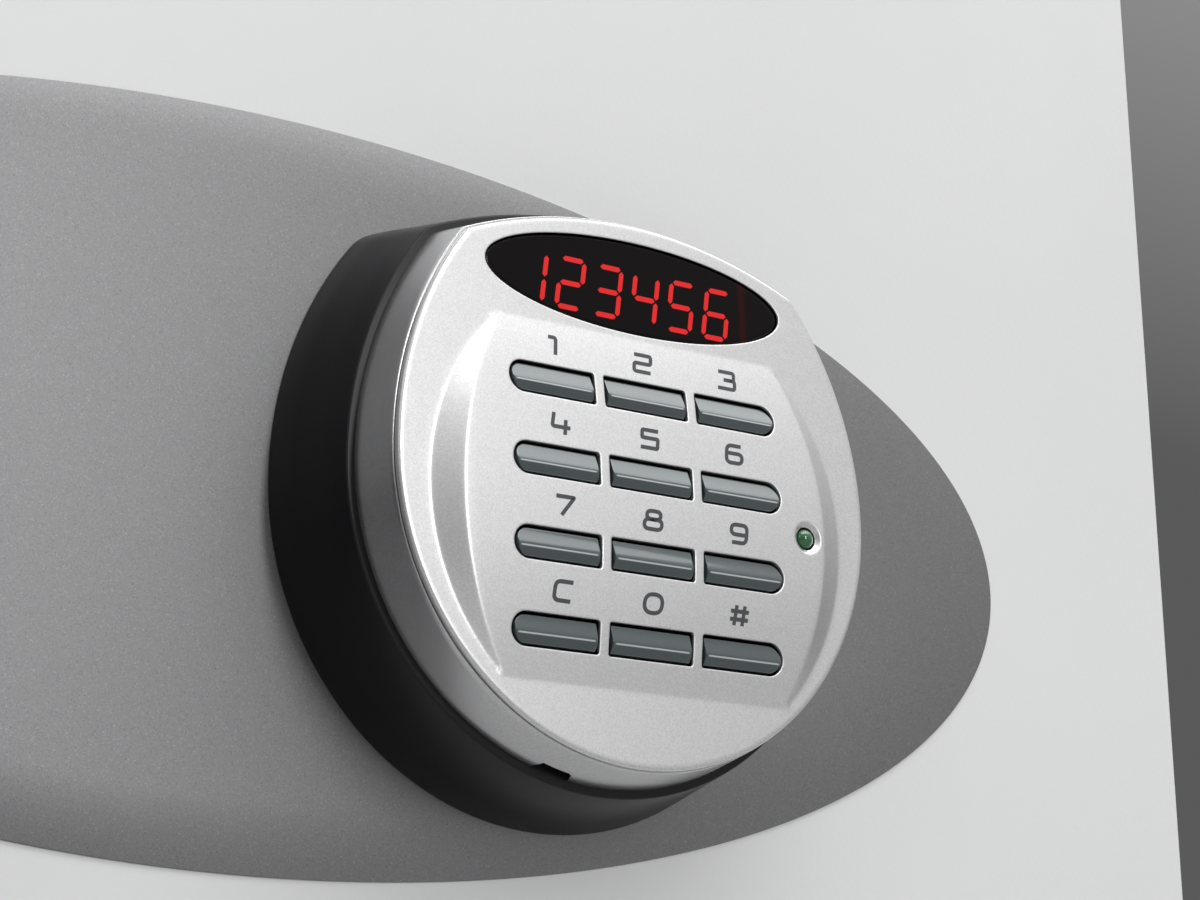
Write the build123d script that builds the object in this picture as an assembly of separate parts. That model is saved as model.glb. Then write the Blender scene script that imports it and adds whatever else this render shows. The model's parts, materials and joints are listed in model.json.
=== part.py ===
from build123d import *
import math
import os

# Compact fire and security safe with an electronic lock on its door.
# X runs to the right as one faces the door, Y runs into the safe and Z runs up.
# The origin is the centre of the floor anchor holes, on the underside of the cabinet.

# Cabinet, millimetres
CABINET_W = 410.0
CABINET_H = 350.0
CABINET_D = 320.0
CABINET_CORNER_R = 9.0
WRAP_T = 2.0
BACK_T = 2.0
BACK_INSET = 2.0
BACK_FLANGE = 12.0
INTERIOR_W = 310.0
INTERIOR_H = 230.0
INTERIOR_D = 235.0
LINER_T = 1.5
LINER_CORNER_R = 6.0
LINER_FLANGE = 1.5
JAMB_MARGIN = 1.0
JAMB_T = 2.0
JAMB_DEPTH = 42.0
ANCHOR_PITCH = 200.0
ANCHOR_R = 7.0
ANCHOR_SLEEVE_T = 2.0

# Shelf
SHELF_RISE = 115.0
SHELF_T = 1.2
SHELF_LIP = 9.0
SHELF_SIDE_GAP = 1.0
SHELF_FRONT_SET = 27.0
SHELF_BACK_GAP = 4.0
CLIP_L = 22.0
CLIP_H = 14.0
CLIP_REACH = 10.0
CLIP_T = 1.5
CLIP_INSET = 25.0

# Door leaf and the plug that fills the mouth of the cabinet
DOOR_MARGIN = 3.0
DOOR_T = 40.0
DOOR_GAP = 2.0
DOOR_CORNER_R = 8.0
DOOR_EDGE_BEVEL = 1.5
DOOR_SKIN_T = 2.0
DOOR_PLATE_T = 1.5
PLUG_DEPTH = 35.0
PLUG_GAP = 4.0
PLUG_SKIN_T = 1.5
PLUG_CORNER_R = 6.0
PLUG_BEVEL = 1.2
SEAL_W = 9.0
SEAL_SET = 6.0
SEAL_GAP = 0.3

# Hinges on the right of the door
HINGE_OUT = 7.0
HINGE_FORWARD = 10.0
HINGE_R = 6.0
HINGE_PIN_R = 3.5
HINGE_RUNNING = 0.08
HINGE_HEAD_R = 5.0
HINGE_HEAD_T = 1.8
HINGE_SPREAD = 210.0
HINGE_DOOR_L = 24.0
HINGE_CABINET_L = 12.0
HINGE_AXIAL_GAP = 0.4
HINGE_LEAF_T = 3.5
HINGE_LEAF_L = 40.0
HINGE_WING_L = 22.0

# Oval plate on the face of the door
OVAL_W = 305.0
OVAL_H = 125.6
OVAL_T = 0.5

# Boltwork
BOLT_R = 10.0
BOLT_END_SET = 42.0
BOLT_THROW_RADIUS = 15.0
HANDLE_SWING = 70.0
BOLT_TIP_SET = 1.0
BOLT_TIP_R = 1.5
BOLT_L = 56.0
BOLT_TAIL_R = 5.0
BOLT_RIVET_R = 8.0
BOLT_RIVET_T = 1.5
BOLT_HOLE_GAP = 0.8
BOLT_GUIDE_GAP = 0.3
BOLT_DEPTH = 18.0
STRIKE_GAP = 2.0
STRIKE_BOX_T = 1.5
STRIKE_TIP_ROOM = 3.0
GUIDE_T = 3.0
GUIDE_SET = 5.0
GUIDE_FOOT = 14.0
GUIDE_MARGIN = 8.0
CARRIAGE_T = 3.0
CARRIAGE_W = 65.0
CARRIAGE_MARGIN = 5.0
CARRIAGE_FORWARD = 10.0
FLANGE_DEPTH = 16.0
STUD_R = 4.0
STUD_HEAD_R = 7.0
STUD_HEAD_T = 2.0
STUD_INSET = 15.0
STUD_X = -60.0
SLIDE_GAP = 0.3
DOG_T = 4.0
DOG_REACH = 8.0
DOG_L = 160.0
DOG_BACK_SET = 5.0
DOG_SWING_ROOM = 10.0
DOG_FOOT = 22.0
DOG_GAP = 1.5

# Handle and its spindle
HANDLE_X = -83.0
SPINDLE_R = 6.0
SPINDLE_RUNNING = 0.07
SPINDLE_TUBE_T = 2.0
ROSE_R = 30.0
ROSE_TOP_R = 26.0
ROSE_T = 10.0
ROSE_BEVEL = 1.2
ROSE_BORE_GAP = 0.5
HANDLE_LIFT = 0.6
HUB_R = 18.0
HUB_T = 22.0
HUB_BEVEL = 2.0
HUB_SOCKET = 16.0
LEVER_L = 92.0
LEVER_ROOT_W = 24.0
LEVER_TIP_W = 16.0
LEVER_T = 12.0
LEVER_BEVEL = 2.5
LEVER_SET = 1.0
CAP_R = 12.0
CAP_T = 1.6
CRANK_T = 6.0
CRANK_HUB_R = 11.0
CRANK_EYE_R = 7.0
CRANK_PIN_R = 4.0
CRANK_PIN_GAP = 0.45
CRANK_PIN_PROUD = 2.0
CRANK_GAP = 0.3
CRANK_SCREW_R = 3.0
CRANK_SCREW_HEAD_R = 5.0
CRANK_SCREW_HEAD_T = 2.5
CRANK_SCREW_L = 12.0

# Solenoid lock on the back of the leaf
LOCK_W = 48.0
LOCK_H = 38.0
LOCK_T = 24.0
LOCK_EDGE_R = 2.0
LOCK_X = 2.0
LOCK_TOP_DROP = 25.0
LUG_X = 0.0
LUG_T = 5.0
LUG_DROP = 12.0
ARM_RISE = -5.0
ARM_H = 12.0
PLUNGER_R = 3.0
PLUNGER_RUNNING = 0.08
PLUNGER_TRAVEL = 8.0
PLUNGER_REST_GAP = 1.5
PLUNGER_GUIDED = 16.0
PLUNGER_BORE_ROOM = 4.0
LOCK_EAR_W = 10.0
LOCK_EAR_T = 3.0

# Cable between the keypad and the solenoid lock
CABLE_R = 1.75
CABLE_BEND_R = 11.0
CABLE_TUBE_R = 5.0
CABLE_TUBE_T = 1.0
CABLE_DROP = 29.0
CABLE_DEPTH = 12.0

# Pan head screws and the pillars of the plug
SMALL_SIDES = 10
SCREW_R = 2.0
SCREW_L = 8.0
SCREW_HEAD_R = 3.8
SCREW_HEAD_T = 2.4
PILLAR_R = 5.0
PILLAR_SET = 18.0

# Keypad. Heights are measured outwards from the crown of its raised key panel
KEYPAD_X = 48.56
KEYPAD_DROP = 5.4
KEYPAD_STAND = 31.26
PAD_LOWER_R = 46.58
PAD_CENTRE_Z = 6.03
PAD_SIDE_R = 61.3
PAD_TOP_R = 84.0
PAD_TOP_Z = 51.15
PAD_CORNER_R = 2.0
PAD_LEAST_CORNER_R = 1.0
PAD_EDGE_LEVEL = -1.9
PAD_BACK_LEVEL = -12.54
PAD_BACK_GROW = 1.84
BASE_LIP_LEVEL = -12.68
BASE_LIP_GROW = 3.22
BASE_FOOT_GROW = 6.96
BASE_WALL = 2.2
BASE_FLOOR_T = 2.5
BASE_LEDGE_T = 2.2
SPIGOT_GROW = -0.6
SPIGOT_T = 2.0
SPIGOT_H = 2.1
SHELL_WALL = 2.0
SHELL_GROOVE = 0.25
SKIRT_T = 1.2
SKIRT_LEVEL = -8.5
FASCIA_EDGE_T = 1.0
FASCIA_T = 1.8
RIM_ARCH_R = 2315.0
RIM_ARCH_Z = -40.5
RIM_ARCH_TOP = -1.96
PANEL_ARCH_R = 167.2
PANEL_ARCH_Z = -1.96
PANEL_T = 2.2
PANEL_HALF_W = 35.92
PANEL_HALF_W_SLOPE = 2.12
PANEL_CHORD_Z = 19.0
PANEL_CHORD_HALF_W = 28.7
PANEL_CHORD_SLOPE = 2.6
PANEL_MID_Z = 1.0
PANEL_TOP_LEVEL = 0.4
PANEL_LOW_LEVEL = -3.7
PANEL_END_TOP = 27.0
PANEL_END_LOW = 33.0
NOTCH_X = -12.0
NOTCH_W = 6.0
NOTCH_H = 2.6

# Keys
KEY_PITCH_X = 18.5
KEY_PITCH_Z = 13.67
KEY_HOLE_L = 16.65
KEY_HOLE_H = 5.5
KEY_GAP = 0.25
KEY_CROWN = 1.7
KEY_RIDGE_DROP = 1.1
KEY_BROW_H = 0.3
KEY_BROW_BOW = 0.35
KEY_CHIN_H = 0.5
KEY_FLANGE_GROW = 0.65
KEY_FLANGE_T = 1.0
KEY_FLANGE_GAP = 0.3
KEY_STEM_L = 5.0
KEY_STEM_H = 3.0
KEY_TRAVEL = 0.6
KEY_DOME_SPARE = 0.2
KEY_NAMES = (("1", "2", "3"), ("4", "5", "6"), ("7", "8", "9"), ("c", "0", "hash"))

# Inside the keypad
BOARD_LEVEL = -10.4
BOARD_T = 1.6
BOARD_GROW = -4.4
BOSS_R = 2.6
BOSS_PILOT_R = 1.0
BOSS_PILOT_L = 5.0
BOSSES = ((-35.0, 20.0), (35.0, 20.0), (-31.5, -17.0), (31.5, -17.0))
BOARD_SCREW_HEAD_R = 2.2
BOARD_SCREW_HEAD_T = 1.4
MAT_W = 56.4
MAT_H = 51.0
MAT_T = 1.2
DOME_W = 6.0
DOME_TOP_W = 4.4
DOME_H = 1.8
WINDOW_Z = 39.98
WINDOW_HALF_W = 30.07
WINDOW_HALF_H = 8.17
WINDOW_LEVEL = -3.7
WINDOW_T = 1.4
WINDOW_GAP = 0.12
DISPLAY_W = 45.0
DISPLAY_H = 11.2
DISPLAY_Z = 37.9
DISPLAY_GAP = 0.2
LED_X = 32.3
LED_Z = 0.9
LED_R = 1.7
LED_TIP = 0.5
LED_FLANGE_R = 2.1
LED_FLANGE_T = 1.0
LED_FLANGE_LEVEL = -6.2
LED_HOLE_R = 2.1
LED_HOLE_RIM_R = 2.7
LED_HOLE_RIM_T = 0.6
CHIP_W = 10.0
CHIP_T = 1.2
CHIP_Z = -27.0
BUZZER_R = 5.0
BUZZER_T = 3.0
BUZZER_X = -36.0
BUZZER_Z = 2.0
BATTERY_R = 7.1
BATTERY_L = 49.5
BATTERY_NUB_R = 2.7
BATTERY_NUB_L = 1.0
BATTERY_PITCH = 14.7
BATTERY_COUNT = 4
BATTERY_Z = 9.5
TRAY_T = 1.4
TRAY_FLOOR_T = 0.8
TRAY_H = 8.0
TRAY_SIDE_GAP = 0.5
CONTACT_T = 0.4
CONTACT_SPRING_L = 1.6
CONTACT_W = 9.0
CONTACT_TONGUE_W = 5.0
SOCKET_W = 14.0
SOCKET_H = 7.0
SOCKET_T = 7.0
BASE_SCREW_X = 38.0
BASE_SCREW_Z = 3.0

# Planes and places that follow from the sizes above
FRONT_Y = -CABINET_D / 2
BACK_Y = CABINET_D / 2
MID_Z = CABINET_H / 2
LEAF_BACK_Y = FRONT_Y - DOOR_GAP
LEAF_FRONT_Y = LEAF_BACK_Y - DOOR_T
FACE_Y = LEAF_FRONT_Y - OVAL_T
PLUG_BACK_Y = LEAF_BACK_Y + PLUG_DEPTH
JAMB_W = INTERIOR_W + 2 * JAMB_MARGIN
JAMB_H = INTERIOR_H + 2 * JAMB_MARGIN
JAMB_BACK_Y = FRONT_Y + JAMB_DEPTH
LINER_BACK_Y = PLUG_BACK_Y + INTERIOR_D
PLUG_W = JAMB_W - 2 * PLUG_GAP
PLUG_H = JAMB_H - 2 * PLUG_GAP
DOOR_W = CABINET_W - 2 * DOOR_MARGIN
DOOR_H = CABINET_H - 2 * DOOR_MARGIN
HINGE_X = CABINET_W / 2 + HINGE_OUT
HINGE_Y = FRONT_Y - HINGE_FORWARD
BOLT_SPREAD = PLUG_H - 2 * BOLT_END_SET
STUD_SPREAD = BOLT_SPREAD - 2 * STUD_INSET
BOLT_Y = LEAF_BACK_Y + BOLT_DEPTH
BOLT_TIP_X = -PLUG_W / 2 + BOLT_TIP_SET
BOLT_THROW = 2 * BOLT_THROW_RADIUS * math.sin(math.radians(HANDLE_SWING / 2))
BOLT_HEIGHTS = (MID_Z - BOLT_SPREAD / 2, MID_Z + BOLT_SPREAD / 2)
FLANGE_X = BOLT_TIP_X + BOLT_L
CARRIAGE_Y = LEAF_BACK_Y + CARRIAGE_FORWARD
CRANK_Y = LEAF_BACK_Y + CRANK_GAP
HUB_BACK_Y = FACE_Y - ROSE_T - HANDLE_LIFT
HUB_FRONT_Y = HUB_BACK_Y - HUB_T
KEYPAD_Z = MID_Z - KEYPAD_DROP
KEYPAD_Y = FACE_Y - KEYPAD_STAND
CABLE_Z = KEYPAD_Z - CABLE_DROP
FLOOR_LEVEL = -KEYPAD_STAND + BASE_FLOOR_T
ARM_Z = MID_Z + ARM_RISE
LUG_BOTTOM_Z = ARM_Z - LUG_DROP
PLUNGER_L = PLUNGER_TRAVEL + PLUNGER_GUIDED
PLUNGER_X = LUG_X - BOLT_THROW / 2 + LUG_T / 2
PLUNGER_Y = CARRIAGE_Y + CARRIAGE_T / 2
PLUNGER_TIP_Z = LUG_BOTTOM_Z - PLUNGER_REST_GAP
LOCK_TOP_Z = MID_Z - LOCK_TOP_DROP
PILLAR_X = PLUG_W / 2 - PILLAR_SET
PILLAR_Z = PLUG_H / 2 - PILLAR_SET

os.makedirs("parts", exist_ok=True)


def save(name, shape):
    """Write one sub-part as parts/NAME.step."""
    export_step(shape, f"parts/{name}.step")


def block(x, y, z):
    """A box from its low and high value on each axis."""
    centre = Pos((x[0] + x[1]) / 2, (y[0] + y[1]) / 2, (z[0] + z[1]) / 2)
    return centre * Box(x[1] - x[0], y[1] - y[0], z[1] - z[0])


def rod_x(x, y, z, radius):
    """A cylinder along X between the two values of x."""
    return Pos((x[0] + x[1]) / 2, y, z) * Rot(0, 90, 0) * Cylinder(radius, x[1] - x[0])


def rod_y(x, y, z, radius):
    """A cylinder along Y between the two values of y."""
    return Pos(x, (y[0] + y[1]) / 2, z) * Rot(90, 0, 0) * Cylinder(radius, y[1] - y[0])


def prism_y(x, y, z, radius):
    """A many-sided prism along Y, which stands for a small round part or its hole."""
    base = Plane(origin=(x, y[1], z), x_dir=(1, 0, 0), z_dir=(0, -1, 0))
    return extrude(base * RegularPolygon(radius, SMALL_SIDES), y[1] - y[0])


def rod_z(x, y, z, radius):
    """A cylinder along Z between the two values of z."""
    return Pos(x, y, (z[0] + z[1]) / 2) * Cylinder(radius, z[1] - z[0])


def panel(width, height, radius, y):
    """An upright slab with rounded corners, centred on the cabinet, between two values of y."""
    plane = Plane(origin=(0, y[1], MID_Z), x_dir=(1, 0, 0), z_dir=(0, -1, 0))
    return extrude(plane * RectangleRounded(width, height, radius), y[1] - y[0])


def anchor_places():
    """Centres of the two floor anchors."""
    return (-ANCHOR_PITCH / 2, 0.0), (ANCHOR_PITCH / 2, 0.0)


def group(solids):
    """Several separate solids kept together as one sub-part."""
    return Compound(children=list(solids))


def cabinet_wrap():
    """Bent steel sheet that forms the top, the sides and the floor."""
    outer = panel(CABINET_W, CABINET_H, CABINET_CORNER_R, (FRONT_Y, BACK_Y))
    inner_r = CABINET_CORNER_R - WRAP_T
    inner = panel(CABINET_W - 2 * WRAP_T, CABINET_H - 2 * WRAP_T, inner_r, (FRONT_Y, BACK_Y))
    wrap = outer - inner
    for x, y in anchor_places():
        wrap -= rod_z(x, y, (0, WRAP_T), ANCHOR_R)
    return wrap


def back_panel():
    """Pan that closes the back, with its flange turned into the cabinet."""
    width = CABINET_W - 2 * WRAP_T
    height = CABINET_H - 2 * WRAP_T
    radius = CABINET_CORNER_R - WRAP_T
    rear = BACK_Y - BACK_INSET
    pan = panel(width, height, radius, (rear - BACK_FLANGE, rear))
    hollow_r = radius - BACK_T
    hollow = panel(width - 2 * BACK_T, height - 2 * BACK_T, hollow_r, (rear - BACK_FLANGE, rear - BACK_T))
    return pan - hollow


def strike_room(z, jamb, grow=0.0):
    """Space that one bolt is thrown into, from the jamb's face, grown by the wall of its pan."""
    room = BOLT_R + STRIKE_GAP + grow
    tip = BOLT_TIP_X - BOLT_THROW - STRIKE_TIP_ROOM - grow
    return block((tip, jamb), (BOLT_Y - room, BOLT_Y + room), (z - room, z + room))


def dog_room(jamb, grow=0.0):
    """Space that the fixed bar swings in, from the jamb's face, grown by the wall of its pan."""
    y_high = PLUG_BACK_Y - DOG_BACK_SET + DOG_GAP + grow
    y_low = PLUG_BACK_Y - DOG_BACK_SET - DOG_T - DOG_SWING_ROOM - grow
    z_half = DOG_L / 2 + DOG_GAP + grow
    reach = PLUG_W / 2 + DOG_REACH + STRIKE_TIP_ROOM + grow
    return block((jamb, reach), (y_low, y_high), (MID_Z - z_half, MID_Z + z_half))


def jamb_boxes():
    """Outer forms of the pans behind the jamb, which the fire fill goes round."""
    boxes = [strike_room(z, -JAMB_W / 2 - JAMB_T, STRIKE_BOX_T) for z in BOLT_HEIGHTS]
    boxes.append(dog_room(JAMB_W / 2 + JAMB_T, STRIKE_BOX_T))
    return boxes


def strike_boxes():
    """Three welded pans behind the jamb, open towards the door: two for the bolts, one for the fixed bar."""
    rooms = [strike_room(z, -JAMB_W / 2 - JAMB_T) for z in BOLT_HEIGHTS]
    rooms.append(dog_room(JAMB_W / 2 + JAMB_T))
    return group(box - room for box, room in zip(jamb_boxes(), rooms))


def front_frame():
    """Face ring, two folded uprights and two strips, welded into the jamb that lines the cabinet's mouth."""
    face_r = CABINET_CORNER_R - WRAP_T
    mouth_r = LINER_CORNER_R + JAMB_MARGIN
    face = panel(CABINET_W - 2 * WRAP_T, CABINET_H - 2 * WRAP_T, face_r, (FRONT_Y, FRONT_Y + JAMB_T))
    face -= panel(JAMB_W, JAMB_H, mouth_r, (FRONT_Y, FRONT_Y + JAMB_T))
    walls_y = (FRONT_Y + JAMB_T, JAMB_BACK_Y)
    walls = panel(JAMB_W + 2 * JAMB_T, JAMB_H + 2 * JAMB_T, mouth_r + JAMB_T, walls_y)
    walls -= panel(JAMB_W, JAMB_H, mouth_r, walls_y)
    for z in BOLT_HEIGHTS:
        walls -= strike_room(z, -JAMB_W / 2)
    walls -= dog_room(JAMB_W / 2)
    fold_x = JAMB_W / 2 - mouth_r
    between = block((-fold_x, fold_x), walls_y, (0, CABINET_H))
    return group([face, *(walls - between).solids(), *(walls & between).solids()])


def liner_outside(y):
    """Outer form of the liner's box between two values of y."""
    return panel(INTERIOR_W + 2 * LINER_T, INTERIOR_H + 2 * LINER_T, LINER_CORNER_R + LINER_T, y)


def inner_liner():
    """Drawn steel box that lines the cavity, its flange against the back of the jamb."""
    flange_r = LINER_CORNER_R + JAMB_MARGIN + JAMB_T
    tub = liner_outside((JAMB_BACK_Y, LINER_BACK_Y + LINER_T))
    flange_y = (JAMB_BACK_Y, JAMB_BACK_Y + LINER_FLANGE)
    tub += panel(JAMB_W + 2 * JAMB_T, JAMB_H + 2 * JAMB_T, flange_r, flange_y)
    tub -= panel(INTERIOR_W, INTERIOR_H, LINER_CORNER_R, (JAMB_BACK_Y, LINER_BACK_Y))
    floor_z = MID_Z - INTERIOR_H / 2
    for x, y in anchor_places():
        tub -= rod_z(x, y, (floor_z - LINER_T, floor_z), ANCHOR_R)
    return tub


def cabinet_insulation():
    """Cast fire fill between the steel wrap and the liner."""
    radius = CABINET_CORNER_R - WRAP_T
    rear = BACK_Y - BACK_INSET - BACK_T
    fill = panel(CABINET_W - 2 * WRAP_T, CABINET_H - 2 * WRAP_T, radius, (FRONT_Y + JAMB_T, rear))
    fill -= back_panel()
    mouth_r = LINER_CORNER_R + JAMB_MARGIN + JAMB_T
    mouth = (FRONT_Y + JAMB_T, JAMB_BACK_Y + LINER_FLANGE)
    fill -= panel(JAMB_W + 2 * JAMB_T, JAMB_H + 2 * JAMB_T, mouth_r, mouth)
    fill -= liner_outside((mouth[1], LINER_BACK_Y + LINER_T))
    for box in jamb_boxes():
        fill -= box
    floor_z = MID_Z - INTERIOR_H / 2
    for x, y in anchor_places():
        fill -= rod_z(x, y, (WRAP_T, floor_z), ANCHOR_R + ANCHOR_SLEEVE_T)
    return fill


def anchor_sleeves():
    """Tubes that carry the floor anchors through the fire fill."""
    sleeves = []
    floor_z = MID_Z - INTERIOR_H / 2 - LINER_T
    for x, y in anchor_places():
        tube = rod_z(x, y, (WRAP_T, floor_z), ANCHOR_R + ANCHOR_SLEEVE_T)
        sleeves.append(tube - rod_z(x, y, (WRAP_T, floor_z), ANCHOR_R))
    return group(sleeves)


def shelf_span():
    """Front and back edge of the shelf on Y."""
    return PLUG_BACK_Y + SHELF_FRONT_SET, LINER_BACK_Y - SHELF_BACK_GAP


def shelf():
    """Steel shelf with lips folded down at its front and back."""
    front, back = shelf_span()
    half = INTERIOR_W / 2 - SHELF_SIDE_GAP
    z = MID_Z - INTERIOR_H / 2 + SHELF_RISE
    tray = block((-half, half), (front, back), (z, z + SHELF_T))
    inset = CLIP_REACH + SHELF_SIDE_GAP
    lip_half = half - inset
    tray += block((-lip_half, lip_half), (front, front + SHELF_T), (z - SHELF_LIP, z))
    tray += block((-lip_half, lip_half), (back - SHELF_T, back), (z - SHELF_LIP, z))
    return tray


def shelf_clips():
    """Four angle clips on the liner's sides that carry the shelf."""
    clips = []
    front, back = shelf_span()
    z = MID_Z - INTERIOR_H / 2 + SHELF_RISE
    wall = INTERIOR_W / 2
    for side in (-1, 1):
        for y in (front + CLIP_INSET, back - CLIP_INSET):
            span = (y - CLIP_L / 2, y + CLIP_L / 2)
            upright = block(sorted((side * wall, side * (wall - CLIP_T))), span, (z - CLIP_H, z))
            ledge = block(sorted((side * wall, side * (wall - CLIP_REACH))), span, (z - CLIP_T, z))
            clips.append(upright + ledge)
    return group(clips)


def door_seal():
    """Swelling fire strip round the mouth, just clear of the closed door."""
    inner_w = JAMB_W + 2 * SEAL_SET
    inner_h = JAMB_H + 2 * SEAL_SET
    radius = LINER_CORNER_R + SEAL_SET
    span = (LEAF_BACK_Y + SEAL_GAP, FRONT_Y)
    strip = panel(inner_w + 2 * SEAL_W, inner_h + 2 * SEAL_W, radius + SEAL_W, span)
    return strip - panel(inner_w, inner_h, radius, span)


def hinge_levels(z):
    """Low and high value of the lower, the middle and the upper knuckle of the hinge at z."""
    half = HINGE_DOOR_L / 2
    gap = HINGE_AXIAL_GAP
    low = (z - half - gap - HINGE_CABINET_L, z - half - gap)
    high = (z + half + gap, z + half + gap + HINGE_CABINET_L)
    return low, (z - half, z + half), high


def hinge_heights():
    """Middle height of each hinge."""
    return MID_Z - HINGE_SPREAD / 2, MID_Z + HINGE_SPREAD / 2


def hinge_brackets():
    """Leaf welded to the cabinet's side, with an upper and a lower knuckle."""
    brackets = []
    side = CABINET_W / 2
    for z in hinge_heights():
        low, _, high = hinge_levels(z)
        leaf = block((side, side + HINGE_LEAF_T), (FRONT_Y, FRONT_Y + HINGE_LEAF_L), (low[0], high[1]))
        for span in (low, high):
            leaf += block((side + HINGE_OUT - HINGE_R, HINGE_X), (HINGE_Y, FRONT_Y + HINGE_R), span)
            leaf += rod_z(HINGE_X, HINGE_Y, span, HINGE_R)
            leaf -= rod_z(HINGE_X, HINGE_Y, span, HINGE_PIN_R)
        brackets.append(leaf)
    return group(brackets)


def hinge_pins():
    """Headed pins fixed in the cabinet's knuckles."""
    pins = []
    for z in hinge_heights():
        low, _, high = hinge_levels(z)
        pin = rod_z(HINGE_X, HINGE_Y, (low[0], high[1]), HINGE_PIN_R)
        pin += rod_z(HINGE_X, HINGE_Y, (high[1], high[1] + HINGE_HEAD_T), HINGE_HEAD_R)
        pins.append(pin)
    return group(pins)


def hinge_knuckles():
    """Middle knuckles, each with a wing welded to the edge of the door."""
    knuckles = []
    door_side = DOOR_W / 2
    for z in hinge_heights():
        span = hinge_levels(z)[1]
        wing = block((door_side, HINGE_X), (HINGE_Y - HINGE_R, HINGE_Y), span)
        wing += block((door_side, door_side + HINGE_LEAF_T), (HINGE_Y - HINGE_WING_L, HINGE_Y), span)
        wing += rod_z(HINGE_X, HINGE_Y, span, HINGE_R)
        knuckles.append(wing - rod_z(HINGE_X, HINGE_Y, span, HINGE_PIN_R + HINGE_RUNNING))
    return group(knuckles)


def keypad_plane(level):
    """Plane across the keypad at a height above the crown of its key panel, facing outwards."""
    return Plane(origin=(KEYPAD_X, KEYPAD_Y - level, KEYPAD_Z), x_dir=(1, 0, 0), z_dir=(0, -1, 0))


def pad_y(low, high):
    """Span on Y between two heights above the crown of the key panel."""
    return KEYPAD_Y - high, KEYPAD_Y - low


def pad_block(x, level, z):
    """A box inside the keypad, in the keypad's own X, height and Z."""
    return block((KEYPAD_X + x[0], KEYPAD_X + x[1]), pad_y(*level), (KEYPAD_Z + z[0], KEYPAD_Z + z[1]))


def pad_rod(x, z, level, radius):
    """A cylinder square to the keypad, in the keypad's own X, Z and height."""
    return rod_y(KEYPAD_X + x, pad_y(*level), KEYPAD_Z + z, radius)


def small_rod(x, z, level, radius):
    """A many-sided prism square to the keypad, in the keypad's own X, Z and height."""
    return prism_y(KEYPAD_X + x, pad_y(*level), KEYPAD_Z + z, radius)


def screw_places():
    """Head side point and direction of each pan head screw: keypad base, solenoid lock, plug cover."""
    places = []
    head_y = KEYPAD_Y - FLOOR_LEVEL
    for side in (-1, 1):
        places.append((KEYPAD_X + side * BASE_SCREW_X, head_y, KEYPAD_Z + BASE_SCREW_Z, 1))
    ear_y = LEAF_BACK_Y + LOCK_EAR_T
    ear_z = LOCK_TOP_Z - LOCK_H / 2
    for side in (-1, 1):
        places.append((LOCK_X + side * (LOCK_W + LOCK_EAR_W) / 2, ear_y, ear_z, -1))
    for x in (-PILLAR_X, PILLAR_X):
        for z in (MID_Z - PILLAR_Z, MID_Z + PILLAR_Z):
            places.append((x, PLUG_BACK_Y, z, -1))
    return places


def screw_shank(place):
    """Shank of one pan head screw."""
    x, y, z, way = place
    return prism_y(x, sorted((y, y + way * SCREW_L)), z, SCREW_R)


def panel_screws():
    """Eight like pan head screws."""
    screws = []
    for place in screw_places():
        x, y, z, way = place
        head = prism_y(x, sorted((y, y - way * SCREW_HEAD_T)), z, SCREW_HEAD_R)
        screws.append(head + screw_shank(place))
    return group(screws)


def leaf_openings(y):
    """Passages through the leaf between two values of y: spindle tube, cable tube and screws."""
    cuts = [rod_y(HANDLE_X, y, MID_Z, SPINDLE_R + SPINDLE_RUNNING + SPINDLE_TUBE_T)]
    cuts.append(rod_y(KEYPAD_X, y, CABLE_Z, CABLE_TUBE_R))
    cuts += [screw_shank(place) for place in screw_places()]
    return cuts


def door_skin():
    """Folded steel pan that forms the face and the edges of the door."""
    pan = panel(DOOR_W, DOOR_H, DOOR_CORNER_R, (LEAF_FRONT_Y, LEAF_BACK_Y))
    face = pan.faces().sort_by(Axis.Y)[0]
    pan = chamfer(face.edges(), DOOR_EDGE_BEVEL)
    pan -= leaf_hollow(LEAF_BACK_Y)
    for cut in leaf_openings((LEAF_FRONT_Y, LEAF_BACK_Y)):
        pan -= cut
    return pan


def leaf_hollow(back):
    """Space inside the door pan, from its face sheet to back."""
    radius = DOOR_CORNER_R - DOOR_SKIN_T
    span = (LEAF_FRONT_Y + DOOR_SKIN_T, back)
    return panel(DOOR_W - 2 * DOOR_SKIN_T, DOOR_H - 2 * DOOR_SKIN_T, radius, span)


def door_insulation():
    """Cast fire fill inside the leaf."""
    fill = leaf_hollow(LEAF_BACK_Y - DOOR_PLATE_T)
    for cut in leaf_openings((LEAF_FRONT_Y, LEAF_BACK_Y)):
        fill -= cut
    return fill


def door_back_plate():
    """Steel plate that closes the back of the leaf and carries the boltwork."""
    plate = leaf_hollow(LEAF_BACK_Y) - leaf_hollow(LEAF_BACK_Y - DOOR_PLATE_T)
    for cut in leaf_openings((LEAF_FRONT_Y, LEAF_BACK_Y)):
        plate -= cut
    return plate


def oval_plate():
    """Thin oval plate on the face of the door, behind the keypad and the handle."""
    plane = Plane(origin=(0, LEAF_FRONT_Y, MID_Z), x_dir=(1, 0, 0), z_dir=(0, -1, 0))
    plate = extrude(plane * Ellipse(OVAL_W / 2, OVAL_H / 2), OVAL_T)
    for cut in leaf_openings((FACE_Y, LEAF_FRONT_Y)):
        plate -= cut
    return plate


def spindle_tube():
    """Steel tube through the leaf in which the handle's spindle turns."""
    bore = SPINDLE_R + SPINDLE_RUNNING
    span = (FACE_Y, LEAF_BACK_Y)
    return rod_y(HANDLE_X, span, MID_Z, bore + SPINDLE_TUBE_T) - rod_y(HANDLE_X, span, MID_Z, bore)


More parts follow.
